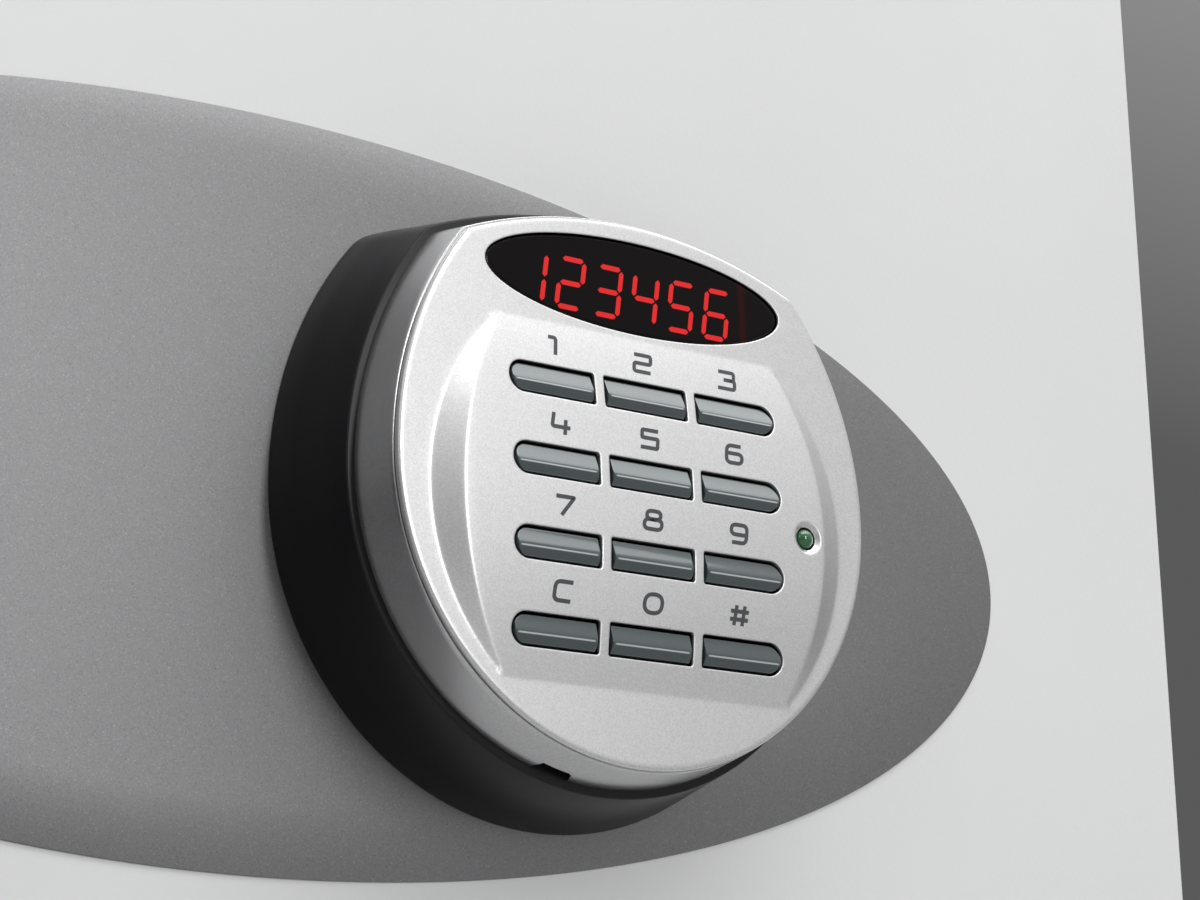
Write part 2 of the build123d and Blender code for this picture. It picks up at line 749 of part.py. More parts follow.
def cable_tube():
    """Plastic tube that takes the lock cable through the leaf."""
    span = (FACE_Y, LEAF_BACK_Y)
    outer = rod_y(KEYPAD_X, span, CABLE_Z, CABLE_TUBE_R)
    return outer - rod_y(KEYPAD_X, span, CABLE_Z, CABLE_TUBE_R - CABLE_TUBE_T)


def lock_cable():
    """Cable from the keypad's socket through the leaf and round to the solenoid lock."""
    start = (KEYPAD_X, KEYPAD_Y - FLOOR_LEVEL, CABLE_Z)
    bend = (KEYPAD_X, LEAF_BACK_Y + CABLE_DEPTH, CABLE_Z)
    end = (LOCK_X + LOCK_W / 2, LEAF_BACK_Y + CABLE_DEPTH, CABLE_Z)
    path = FilletPolyline(start, bend, end, radius=CABLE_BEND_R)
    section = Plane(origin=start, z_dir=(0, 1, 0)) * RegularPolygon(CABLE_R, SMALL_SIDES)
    return sweep(section, path=path)


def boltwork_cover():
    """Steel pan over the boltwork: the plug of the door."""
    plug = panel(PLUG_W, PLUG_H, PLUG_CORNER_R, (LEAF_BACK_Y, PLUG_BACK_Y))
    rear = plug.faces().sort_by(Axis.Y)[-1]
    plug = chamfer(rear.edges(), PLUG_BEVEL)
    inner_r = PLUG_CORNER_R - PLUG_SKIN_T
    inner_w = PLUG_W - 2 * PLUG_SKIN_T
    plug -= panel(inner_w, PLUG_H - 2 * PLUG_SKIN_T, inner_r, (LEAF_BACK_Y, PLUG_BACK_Y - PLUG_SKIN_T))
    side = PLUG_W / 2
    for z in BOLT_HEIGHTS:
        plug -= rod_x((-side, -side + PLUG_SKIN_T), BOLT_Y, z, BOLT_R + BOLT_HOLE_GAP)
    dog_y = dog_span()
    dog_z = (MID_Z - DOG_L / 2, MID_Z + DOG_L / 2)
    plug -= block((side - PLUG_SKIN_T, side), dog_y, dog_z)
    for place in screw_places():
        plug -= screw_shank(place)
    return plug


def cover_pillars():
    """Four hexagonal pillars between the leaf and the plug's cover."""
    pillars = []
    for x in (-PILLAR_X, PILLAR_X):
        for z in (MID_Z - PILLAR_Z, MID_Z + PILLAR_Z):
            foot = Plane(origin=(x, LEAF_BACK_Y, z), x_dir=(1, 0, 0), z_dir=(0, 1, 0))
            pillar = extrude(foot * RegularPolygon(PILLAR_R, 6), PLUG_DEPTH - PLUG_SKIN_T)
            for place in screw_places():
                pillar -= screw_shank(place)
            pillars.append(pillar)
    return group(pillars)


def dog_span():
    """Low and high value on Y of the fixed bar's lip."""
    high = PLUG_BACK_Y - DOG_BACK_SET
    return high - DOG_T, high


def dog_bar():
    """Fixed bar of Z section whose lip hooks behind the jamb on the hinge side."""
    low, high = dog_span()
    web = (PLUG_W / 2 - 2 * DOG_T, PLUG_W / 2 - DOG_T)
    z = (MID_Z - DOG_L / 2, MID_Z + DOG_L / 2)
    bar = block((web[0], PLUG_W / 2 + DOG_REACH), (low, high), z)
    bar += block(web, (LEAF_BACK_Y, high), z)
    bar += block((web[0] - DOG_FOOT, web[1]), (LEAF_BACK_Y, LEAF_BACK_Y + DOG_T), z)
    return bar


def bolt_guide():
    """Angle on the leaf with the two holes that the bolts run in."""
    x = BOLT_TIP_X + GUIDE_SET
    z_half = BOLT_SPREAD / 2 + BOLT_R + GUIDE_MARGIN
    z = (MID_Z - z_half, MID_Z + z_half)
    high = BOLT_Y + BOLT_R + GUIDE_T
    angle = block((x, x + GUIDE_T), (LEAF_BACK_Y, high), z)
    angle += block((x, x + GUIDE_T + GUIDE_FOOT), (LEAF_BACK_Y, LEAF_BACK_Y + GUIDE_T), z)
    for height in BOLT_HEIGHTS:
        angle -= rod_x((x, x + GUIDE_T), BOLT_Y, height, BOLT_R + BOLT_GUIDE_GAP)
    return angle


def stud_heights():
    """Heights of the two carriage studs."""
    return MID_Z - STUD_SPREAD / 2, MID_Z + STUD_SPREAD / 2


def guide_studs():
    """Headed studs on the leaf that carry the sliding carriage in its long slots."""
    studs = []
    seat = CARRIAGE_Y - SLIDE_GAP
    top = CARRIAGE_Y + CARRIAGE_T + SLIDE_GAP
    for z in stud_heights():
        stud = rod_y(STUD_X, (LEAF_BACK_Y, seat), z, STUD_HEAD_R)
        stud += rod_y(STUD_X, (seat, top), z, STUD_R)
        stud += rod_y(STUD_X, (top, top + STUD_HEAD_T), z, STUD_HEAD_R)
        studs.append(stud)
    return group(studs)


def crank_pin_place():
    """Place of the crank's pin at rest, with the bolts drawn."""
    angle = math.radians(HANDLE_SWING / 2)
    x = HANDLE_X + BOLT_THROW_RADIUS * math.sin(angle)
    return x, MID_Z - BOLT_THROW_RADIUS * math.cos(angle)


def slot_cut(x, z, radius, y):
    """A slot with round ends between two points, cut along Y."""
    cut = rod_y(x[0], y, z[0], radius) + rod_y(x[1], y, z[1], radius)
    if x[0] == x[1]:
        return cut + block((x[0] - radius, x[0] + radius), y, z)
    return cut + block(x, y, (z[0] - radius, z[0] + radius))


def carriage_plate():
    """Sliding plate that carries both bolts, with the crank's slot and the lug for the solenoid lock."""
    z_half = BOLT_SPREAD / 2 + BOLT_R + CARRIAGE_MARGIN
    z = (MID_Z - z_half, MID_Z + z_half)
    y = (CARRIAGE_Y, CARRIAGE_Y + CARRIAGE_T)
    right = FLANGE_X + CARRIAGE_W
    plate = block((FLANGE_X, right), y, z)
    plate += block((FLANGE_X, FLANGE_X + CARRIAGE_T), (CARRIAGE_Y, CARRIAGE_Y + FLANGE_DEPTH), z)
    plate += block((right, LUG_X + LUG_T), y, (ARM_Z, ARM_Z + ARM_H))
    plate += block((LUG_X, LUG_X + LUG_T), y, (LUG_BOTTOM_Z, ARM_Z))
    pin_x, pin_z = crank_pin_place()
    deepest = MID_Z - BOLT_THROW_RADIUS
    slot_z = (deepest - CRANK_PIN_GAP, pin_z + CRANK_PIN_GAP)
    plate -= slot_cut((pin_x, pin_x), slot_z, CRANK_PIN_R + CRANK_PIN_GAP, y)
    for height in stud_heights():
        plate -= slot_cut((STUD_X, STUD_X + BOLT_THROW), (height, height), STUD_R + SLIDE_GAP, y)
    rivet = (FLANGE_X + CARRIAGE_T, FLANGE_X + CARRIAGE_T + 2 * BOLT_RIVET_T)
    for height in BOLT_HEIGHTS:
        plate -= rod_x((FLANGE_X, FLANGE_X + CARRIAGE_T), BOLT_Y, height, BOLT_TAIL_R)
        plate -= rod_x(rivet, BOLT_Y, height, BOLT_RIVET_R + SLIDE_GAP)
    return plate


def locking_bolts():
    """Two round bolts with riveted tails."""
    bolts = []
    rivet_x = FLANGE_X + CARRIAGE_T
    for z in BOLT_HEIGHTS:
        bolt = rod_x((BOLT_TIP_X, FLANGE_X), BOLT_Y, z, BOLT_R)
        tip = bolt.edges().filter_by(GeomType.CIRCLE).sort_by(Axis.X)[0]
        bolt = chamfer(tip, BOLT_TIP_R)
        bolt += rod_x((FLANGE_X, rivet_x), BOLT_Y, z, BOLT_TAIL_R)
        bolt += rod_x((rivet_x, rivet_x + BOLT_RIVET_T), BOLT_Y, z, BOLT_RIVET_R)
        bolts.append(bolt)
    return group(bolts)


def lock_unit():
    """Housing of the solenoid lock, screwed to the leaf through two ears."""
    x = (LOCK_X - LOCK_W / 2, LOCK_X + LOCK_W / 2)
    z = (LOCK_TOP_Z - LOCK_H, LOCK_TOP_Z)
    case = block(x, (LEAF_BACK_Y, LEAF_BACK_Y + LOCK_T), z)
    case = fillet(case.faces().sort_by(Axis.Y)[-1].edges(), LOCK_EDGE_R)
    ear_z = (LOCK_TOP_Z - LOCK_H / 2 - LOCK_EAR_W / 2, LOCK_TOP_Z - LOCK_H / 2 + LOCK_EAR_W / 2)
    ear_y = (LEAF_BACK_Y, LEAF_BACK_Y + LOCK_EAR_T)
    case += block((x[0] - LOCK_EAR_W, x[1] + LOCK_EAR_W), ear_y, ear_z)
    bore_low = PLUNGER_TIP_Z - PLUNGER_L - PLUNGER_BORE_ROOM
    case -= rod_z(PLUNGER_X, PLUNGER_Y, (bore_low, LOCK_TOP_Z), PLUNGER_R + PLUNGER_RUNNING)
    for place in screw_places():
        case -= screw_shank(place)
    return case


def lock_plunger():
    """Steel plunger that rises beside the carriage's lug and blocks it."""
    plunger = rod_z(PLUNGER_X, PLUNGER_Y, (PLUNGER_TIP_Z - PLUNGER_L, PLUNGER_TIP_Z), PLUNGER_R)
    tip = plunger.edges().filter_by(GeomType.CIRCLE).sort_by(Axis.Z)[-1]
    return chamfer(tip, PLUNGER_R / 4)


def handle_rose():
    """Tapered round base under the handle."""
    bore = SPINDLE_R + ROSE_BORE_GAP
    shoulder = ROSE_TOP_R - ROSE_BEVEL
    section = [(bore, 0), (ROSE_R, 0), (ROSE_TOP_R, ROSE_T - ROSE_BEVEL), (shoulder, ROSE_T), (bore, ROSE_T)]
    upright = Plane(origin=(0, 0, 0), x_dir=(1, 0, 0), z_dir=(0, -1, 0))
    profile = upright * make_face(Polyline(*section, close=True))
    return Pos(HANDLE_X, FACE_Y, MID_Z) * Rot(90, 0, 0) * revolve(profile, Axis.Z)


def handle_lever():
    """Cast lever with a round hub, hanging down while the bolts are drawn."""
    hub = rod_y(HANDLE_X, (HUB_FRONT_Y, HUB_BACK_Y), MID_Z, HUB_R)
    back_y = HUB_FRONT_Y + LEVER_SET + LEVER_T
    plane = Plane(origin=(HANDLE_X, back_y, MID_Z), x_dir=(1, 0, 0), z_dir=(0, -1, 0))
    tip_r = LEVER_TIP_W / 2
    tip_z = -LEVER_L + tip_r
    root = LEVER_ROOT_W / 2
    outline = make_face(Polyline((-root, 0), (root, 0), (tip_r, tip_z), (-tip_r, tip_z), close=True))
    arm = extrude(plane * (outline + Pos(0, tip_z) * Circle(tip_r)), LEVER_T)
    ends = arm.faces().filter_by(Axis.Y)
    arm = chamfer(ends.sort_by(Axis.Y)[0].edges() + ends.sort_by(Axis.Y)[-1].edges(), LEVER_BEVEL)
    rims = hub.edges().filter_by(GeomType.CIRCLE).sort_by(Axis.Y)
    hub = chamfer(rims[0], HUB_BEVEL)
    lever = hub + arm
    lever -= rod_y(HANDLE_X, (HUB_BACK_Y - HUB_SOCKET, HUB_BACK_Y), MID_Z, SPINDLE_R)
    lever -= rod_y(HANDLE_X, (HUB_FRONT_Y, HUB_FRONT_Y + CAP_T), MID_Z, CAP_R)
    return lever


def handle_cap():
    """Disc that covers the fixing in the middle of the hub."""
    cap = rod_y(HANDLE_X, (HUB_FRONT_Y, HUB_FRONT_Y + CAP_T), MID_Z, CAP_R)
    rim = cap.edges().filter_by(GeomType.CIRCLE).sort_by(Axis.Y)[0]
    return chamfer(rim, CAP_T / 3)


def handle_spindle():
    """Round spindle from the lever's hub to the crank."""
    crank_back = CRANK_Y + CRANK_T
    spindle = rod_y(HANDLE_X, (HUB_BACK_Y - HUB_SOCKET, crank_back), MID_Z, SPINDLE_R)
    return spindle - rod_y(HANDLE_X, (crank_back - CRANK_SCREW_L, crank_back), MID_Z, CRANK_SCREW_R)


def crank():
    """Arm on the inner end of the spindle, with the pin that drives the carriage."""
    pin_x, pin_z = crank_pin_place()
    span = (CRANK_Y, CRANK_Y + CRANK_T)
    plane = Plane(origin=(0, span[1], 0), x_dir=(1, 0, 0), z_dir=(0, -1, 0))
    eyes = Pos(HANDLE_X, MID_Z) * Circle(CRANK_HUB_R) + Pos(pin_x, pin_z) * Circle(CRANK_EYE_R)
    arm = extrude(plane * make_hull(eyes.edges()), CRANK_T)
    pin_top = CARRIAGE_Y + CARRIAGE_T + CRANK_PIN_PROUD
    arm += rod_y(pin_x, (span[1], pin_top), pin_z, CRANK_PIN_R)
    return arm - rod_y(HANDLE_X, span, MID_Z, SPINDLE_R)


def crank_screw():
    """Screw that holds the crank on the spindle."""
    head_y = CRANK_Y + CRANK_T
    screw = rod_y(HANDLE_X, (head_y - CRANK_SCREW_L, head_y), MID_Z, CRANK_SCREW_R)
    return screw + rod_y(HANDLE_X, (head_y, head_y + CRANK_SCREW_HEAD_T), MID_Z, CRANK_SCREW_HEAD_R)


def circle_crossing(a, a_r, b, b_r):
    """Crossing of two circles that lies to the right of the middle."""
    gap_x = b[0] - a[0]
    gap_z = b[1] - a[1]
    gap = math.hypot(gap_x, gap_z)
    along = (a_r**2 - b_r**2 + gap**2) / (2 * gap)
    across = math.sqrt(a_r**2 - along**2)
    foot = (a[0] + along * gap_x / gap, a[1] + along * gap_z / gap)
    first = (foot[0] + across * gap_z / gap, foot[1] - across * gap_x / gap)
    second = (foot[0] - across * gap_z / gap, foot[1] + across * gap_x / gap)
    return max(first, second)


def towards(centre, target, distance):
    """Point at a distance from centre towards target."""
    reach = math.hypot(target[0] - centre[0], target[1] - centre[1])
    share = distance / reach
    return centre[0] + (target[0] - centre[0]) * share, centre[1] + (target[1] - centre[1]) * share


def bow(centre, radius, start, end):
    """Arc about centre from start to end."""
    middle = ((start[0] + end[0]) / 2, (start[1] + end[1]) / 2)
    return ThreePointArc(start, towards(centre, middle, radius), end)


def pad_outline(grow):
    """Keypad's outline, grown evenly: round below, drawn in to two soft corners, and bowed across its top."""
    lower = PAD_LOWER_R + grow
    side = PAD_SIDE_R + grow
    top = PAD_TOP_R + grow
    corner = max(PAD_CORNER_R + grow, PAD_LEAST_CORNER_R)
    side_centre = (PAD_LOWER_R - PAD_SIDE_R, PAD_CENTRE_Z)
    top_centre = (0.0, PAD_TOP_Z - PAD_TOP_R)
    corner_centre = circle_crossing(side_centre, side - corner, top_centre, top - corner)
    wide = (lower, PAD_CENTRE_Z)
    side_end = towards(side_centre, corner_centre, side)
    top_end = towards(top_centre, corner_centre, top)
    right = bow(side_centre, side, wide, side_end)
    right_corner = bow(corner_centre, corner, side_end, top_end)
    crown = ThreePointArc(top_end, (0.0, PAD_TOP_Z + grow), (-top_end[0], top_end[1]))
    foot = ThreePointArc((-lower, PAD_CENTRE_Z), (0.0, PAD_CENTRE_Z - lower), wide)
    edges = [foot, right, right_corner, crown]
    left_middle, left_end = mirrored(right_corner @ 0.5), mirrored(right_corner @ 0)
    edges.append(ThreePointArc((-top_end[0], top_end[1]), left_middle, left_end))
    edges.append(ThreePointArc(mirrored(side_end), mirrored(right @ 0.5), (-lower, PAD_CENTRE_Z)))
    return make_face(edges)


def mirrored(point):
    """The point on the other side of the keypad's middle."""
    x, z = tuple(point)[:2]
    return -x, z


def tapered(grow, low, high, slope):
    """The keypad's outline at the height low, grown evenly, carried to high while it draws in by slope."""
    return extrude(keypad_plane(low) * pad_outline(grow), high - low, taper=math.degrees(math.atan(slope)))


def pad_cone(grow, low, high):
    """The keypad's drafted outer form, grown evenly, between two heights."""
    draft = PAD_BACK_GROW / (PAD_EDGE_LEVEL - PAD_BACK_LEVEL)
    return tapered(grow + draft * (PAD_EDGE_LEVEL - low), low, high, draft)


def base_cone(grow, low, high):
    """The black base's tapered outer form, grown evenly, between two heights."""
    slope = (BASE_FOOT_GROW - BASE_LIP_GROW) / (BASE_LIP_LEVEL + KEYPAD_STAND)
    return tapered(grow + BASE_LIP_GROW + slope * (BASE_LIP_LEVEL - low), low, high, slope)


def arch(radius, z, top, drop):
    """Solid under a shallow arch that runs across the keypad along X, sunk by drop."""
    half = PAD_LOWER_R + BASE_FOOT_GROW
    centre_y = KEYPAD_Y - top + radius
    return rod_x((KEYPAD_X - half, KEYPAD_X + half), centre_y, KEYPAD_Z + z, radius - drop)


def under_rim(drop):
    """Everything behind the fascia's outer surface, sunk by drop."""
    return arch(RIM_ARCH_R, RIM_ARCH_Z, RIM_ARCH_TOP, drop)


def panel_section(level, inset):
    """Outline of the raised key panel at one height: bowed sides that spread downwards."""
    half = PANEL_HALF_W - PANEL_HALF_W_SLOPE * level - inset
    chord = PANEL_CHORD_HALF_W - PANEL_CHORD_SLOPE * level - inset
    share = (level - PANEL_LOW_LEVEL) / (PANEL_TOP_LEVEL - PANEL_LOW_LEVEL)
    end = PANEL_END_LOW + (PANEL_END_TOP - PANEL_END_LOW) * share - inset
    sagitta = half - chord
    radius = (PANEL_CHORD_Z**2 + sagitta**2) / (2 * sagitta)
    corner = half - radius + math.sqrt(max(radius**2 - end**2, 0.0))
    low = PANEL_MID_Z - end
    high = PANEL_MID_Z + end
    right = ThreePointArc((corner, low), (half, PANEL_MID_Z), (corner, high))
    left = ThreePointArc((-corner, high), (-half, PANEL_MID_Z), (-corner, low))
    ends = [Line((corner, high), (-corner, high)), Line((-corner, low), (corner, low))]
    return make_face([right, ends[0], left, ends[1]])


def raised_panel(inset, drop, foot):
    """The arched key panel as a solid down to the level foot, inset at its sides and sunk by drop."""
    low = keypad_plane(foot) * panel_section(foot, inset)
    high = keypad_plane(PANEL_TOP_LEVEL) * panel_section(PANEL_TOP_LEVEL, inset)
    body = loft([low, high], ruled=True)
    return body & arch(PANEL_ARCH_R, PANEL_ARCH_Z, 0.0, drop)


def key_plan(column, grow):
    """Plan of a key: square ends in the middle column, a round outer end in the others."""
    half_l = KEY_HOLE_L / 2 + grow
    half_h = KEY_HOLE_H / 2 + grow
    if column == 1:
        return Rectangle(2 * half_l, 2 * half_h)
    side = column - 1
    bar = Pos(-side * half_h / 2, 0) * Rectangle(2 * half_l - half_h, 2 * half_h)
    return bar + Pos(side * (half_l - half_h), 0) * Circle(half_h)


def key_centre(column, row):
    """Centre of a key in the keypad's own X and Z."""
    return (column - 1) * KEY_PITCH_X, (1.5 - row) * KEY_PITCH_Z


def key_prism(column, row, grow, low, high):
    """A key's plan carried between two heights."""
    x, z = key_centre(column, row)
    plane = keypad_plane(low)
    return extrude(plane * (Pos(x, z) * key_plan(column, grow)), high - low)


def window_prism(grow, low, high):
    """The display window's oval between two heights."""
    oval = Pos(0, WINDOW_Z) * Ellipse(WINDOW_HALF_W + grow, WINDOW_HALF_H + grow)
    return extrude(keypad_plane(low) * oval, high - low)


def fascia_envelope():
    """The fascia's outer surface as a full solid."""
    body = pad_cone(0.0, PAD_BACK_LEVEL, 1.0) & under_rim(0.0)
    return body + raised_panel(0.0, 0.0, PANEL_LOW_LEVEL)


def fascia():
    """Silver front moulding: flat rim, arched key panel with bevelled sides, and its openings."""
    envelope = fascia_envelope()
    front = envelope - (under_rim(FASCIA_EDGE_T) - pad_cone(-SHELL_WALL, PAD_BACK_LEVEL, 1.0))
    front -= pad_cone(-SHELL_WALL - SKIRT_T, PAD_BACK_LEVEL, 1.0) & under_rim(FASCIA_T)
    hollow = raised_panel(PANEL_T, PANEL_T, PANEL_LOW_LEVEL - PANEL_T)
    front -= hollow & pad_cone(-SHELL_WALL - SKIRT_T, PAD_BACK_LEVEL, 1.0)
    front -= pad_cone(1.0, PAD_BACK_LEVEL, SKIRT_LEVEL)
    for x, z in BOSSES:
        front += small_rod(x, z, (BOARD_LEVEL, 1.0), BOSS_R) & envelope
        front -= small_rod(x, z, (BOARD_LEVEL, BOARD_LEVEL + BOSS_PILOT_L), BOSS_PILOT_R)
    for row in range(len(KEY_NAMES)):
        for column in range(len(KEY_NAMES[row])):
            front -= key_prism(column, row, 0.0, SKIRT_LEVEL, 1.0)
    front -= window_prism(0.0, SKIRT_LEVEL, 1.0)
    front -= pad_rod(LED_X, LED_Z, (SKIRT_LEVEL, 1.0), LED_HOLE_R)
    rim_low = -LED_HOLE_RIM_T
    cone = [keypad_plane(rim_low) * Pos(LED_X, LED_Z) * Circle(LED_HOLE_R)]
    cone.append(keypad_plane(LED_HOLE_RIM_T) * Pos(LED_X, LED_Z) * Circle(2 * LED_HOLE_RIM_R - LED_HOLE_R))
    return front - loft(cone, ruled=True)


def front_shell():
    """Silver band round the keypad, with the slot that releases it at its lower back edge."""
    ring = pad_cone(0.0, PAD_BACK_LEVEL, 1.0) - pad_cone(-SHELL_WALL, PAD_BACK_LEVEL, 1.0)
    ring &= under_rim(FASCIA_EDGE_T + SHELL_GROOVE)
    half = NOTCH_W / 2
    span = (PAD_BACK_LEVEL, PAD_BACK_LEVEL + NOTCH_H)
    return ring - pad_block((NOTCH_X - half, NOTCH_X + half), span, (-PAD_LOWER_R - PAD_CENTRE_Z, 0.0))


def keypad_base():
    """Black housing that tapers out to the door, open in front, with the spigot that locates the front."""
    housing = base_cone(0.0, -KEYPAD_STAND, BASE_LIP_LEVEL)
    spigot_top = BASE_LIP_LEVEL + SPIGOT_H
    neck = extrude(keypad_plane(BASE_LIP_LEVEL) * pad_outline(SPIGOT_GROW), SPIGOT_H)
    housing += neck
    housing -= base_cone(-BASE_WALL, FLOOR_LEVEL, BASE_LIP_LEVEL - BASE_LEDGE_T)
    mouth = keypad_plane(FLOOR_LEVEL) * pad_outline(SPIGOT_GROW - SPIGOT_T)
    housing -= extrude(mouth, spigot_top - FLOOR_LEVEL)
    housing -= pad_rod(0.0, -CABLE_DROP, (-KEYPAD_STAND, FLOOR_LEVEL), CABLE_TUBE_R)
    for place in screw_places():
        housing -= screw_shank(place)
    return housing


def display_window():
    """Dark red lens of the display."""
    return window_prism(-WINDOW_GAP, WINDOW_LEVEL - WINDOW_T, WINDOW_LEVEL)


def display_module():
    """Row of six lighted digits in one block on the board."""
    top = WINDOW_LEVEL - WINDOW_T - DISPLAY_GAP
    z = (DISPLAY_Z - DISPLAY_H / 2, DISPLAY_Z + DISPLAY_H / 2)
    return pad_block((-DISPLAY_W / 2, DISPLAY_W / 2), (BOARD_LEVEL, top), z)


def status_led():
    """Round green lamp with a domed tip, standing on the board."""
    lamp = pad_rod(LED_X, LED_Z, (BOARD_LEVEL, LED_TIP - LED_R), LED_R)
    lamp += Pos(KEYPAD_X + LED_X, KEYPAD_Y - LED_TIP + LED_R, KEYPAD_Z + LED_Z) * Sphere(LED_R)
    return lamp + pad_rod(LED_X, LED_Z, (LED_FLANGE_LEVEL, LED_FLANGE_LEVEL + LED_FLANGE_T), LED_FLANGE_R)


def circuit_board():
    """Board behind the keys, with its controller chip and its sounder."""
    board = extrude(keypad_plane(BOARD_LEVEL - BOARD_T) * pad_outline(BOARD_GROW), BOARD_T)
    for x, z in BOSSES:
        board -= small_rod(x, z, (BOARD_LEVEL - BOARD_T, BOARD_LEVEL), BOSS_PILOT_R)
    back = BOARD_LEVEL - BOARD_T
    half = CHIP_W / 2
    chip = pad_block((-half, half), (back - CHIP_T, back), (CHIP_Z - half, CHIP_Z + half))
    sounder = small_rod(BUZZER_X, BUZZER_Z, (back - BUZZER_T, back), BUZZER_R)
    return group([board, chip, sounder])


def board_screws():
    """Four small screws that hold the board to the fascia's bosses."""
    screws = []
    back = BOARD_LEVEL - BOARD_T
    for x, z in BOSSES:
        screw = small_rod(x, z, (back, BOARD_LEVEL + BOSS_PILOT_L), BOSS_PILOT_R)
        screws.append(screw + small_rod(x, z, (back - BOARD_SCREW_HEAD_T, back), BOARD_SCREW_HEAD_R))
    return group(screws)


def key_mat():
    """Rubber mat on the board with one dome under each key."""
    level = (BOARD_LEVEL, BOARD_LEVEL + MAT_T)
    mat = pad_block((-MAT_W / 2, MAT_W / 2), level, (-MAT_H / 2, MAT_H / 2))
    for row in range(len(KEY_NAMES)):
        for column in range(len(KEY_NAMES[row])):
            centre = Pos(*key_centre(column, row))
            foot = keypad_plane(level[1]) * centre * Rectangle(DOME_W, DOME_W)
            top = keypad_plane(level[1] + DOME_H) * centre * Rectangle(DOME_TOP_W, DOME_TOP_W)
            mat += loft([foot, top], ruled=True)
    return mat


def key_section(low):
    """Profile of a key across its length, X as height from the panel: a bowed brow down to a ridge."""
    half = KEY_HOLE_H / 2 - KEY_GAP
    ridge = (-KEY_RIDGE_DROP, KEY_CROWN)
    bow_z = (half - KEY_RIDGE_DROP) / 2
    bow_h = (KEY_CROWN + KEY_BROW_H) / 2 + KEY_BROW_BOW
    brow = ThreePointArc((half, KEY_BROW_H), (bow_z, bow_h), ridge)
    chin = Line(ridge, (-half, KEY_CHIN_H))
    foot = Polyline((-half, KEY_CHIN_H), (-half, low), (half, low), (half, KEY_BROW_H))
    return make_face([brow, chin, foot])


def key(column, row):
    """One key: a ridged bar that stands through the fascia, its retaining flange and its stem."""
    x, z = key_centre(column, row)
    tilt = math.asin((z - PANEL_ARCH_Z) / PANEL_ARCH_R)
    surface = PANEL_ARCH_R * math.cos(tilt) - PANEL_ARCH_R
    floor_level = BOARD_LEVEL + MAT_T + DOME_H + KEY_TRAVEL + KEY_DOME_SPARE
    flange_foot = surface - PANEL_T - KEY_FLANGE_GAP - KEY_FLANGE_T
    side = (KEYPAD_X + x - KEY_HOLE_L, KEYPAD_Y - surface, KEYPAD_Z + z)
    across = Plane(origin=side, x_dir=(0, math.sin(tilt), math.cos(tilt)), z_dir=(1, 0, 0))
    crown = extrude(across * key_section(floor_level), 2 * KEY_HOLE_L, dir=(1, 0, 0))
    inner = arch(PANEL_ARCH_R, PANEL_ARCH_Z, 0.0, PANEL_T + KEY_FLANGE_GAP)
    bar = key_prism(column, row, -KEY_GAP, flange_foot, surface + 2 * KEY_CROWN) & crown
    bar += key_prism(column, row, KEY_FLANGE_GROW, flange_foot, surface) & inner
    half_l = KEY_STEM_L / 2
    half_s = KEY_STEM_H / 2
    return bar + pad_block((x - half_l, x + half_l), (floor_level, flange_foot), (z - half_s, z + half_s))


def battery_heights():
    """Centres of the batteries in the keypad's own Z."""
    first = BATTERY_Z - BATTERY_PITCH * (BATTERY_COUNT - 1) / 2
    return [first + BATTERY_PITCH * place for place in range(BATTERY_COUNT)]


def battery_level():
    """Height of the batteries' axes."""
    return FLOOR_LEVEL + TRAY_FLOOR_T + BATTERY_R


def batteries():
    """Four round cells, laid head to tail."""
    cells = []
    y = KEYPAD_Y - battery_level()
    whole = BATTERY_L + BATTERY_NUB_L
    for place, z in enumerate(battery_heights()):
        way = 1 if place % 2 else -1
        foot = KEYPAD_X - way * whole / 2
        shoulder = foot + way * BATTERY_L
        cell = rod_x(sorted((foot, shoulder)), y, KEYPAD_Z + z, BATTERY_R)
        nub = sorted((shoulder, shoulder + way * BATTERY_NUB_L))
        cells.append(cell + rod_x(nub, y, KEYPAD_Z + z, BATTERY_NUB_R))
    return group(cells)


def battery_contacts():
    """Metal plate with a bowed spring tongue at each end of each cell."""
    contacts = []
    end = (BATTERY_L + BATTERY_NUB_L) / 2
    level = battery_level()
    for z in battery_heights():
        for side in (-1, 1):
            tip = KEYPAD_X + side * end
            root = tip + side * CONTACT_SPRING_L
            y = KEYPAD_Y - level
            half = CONTACT_W / 2
            span_y = (y - half, y + half)
            span_z = (KEYPAD_Z + z - half, KEYPAD_Z + z + half)
            plate = block(sorted((root, root + side * CONTACT_T)), span_y, span_z)
            tongue_y = (y - CONTACT_TONGUE_W / 2, y + CONTACT_TONGUE_W / 2)
            tongue = Plane(origin=(0, tongue_y[1], KEYPAD_Z + z), x_dir=(1, 0, 0), z_dir=(0, -1, 0))
            bow_out = make_face(Polyline((root, -half), (tip, 0), (root, half), close=True))
            contacts.append(plate + extrude(tongue * bow_out, CONTACT_TONGUE_W))
    return group(contacts)


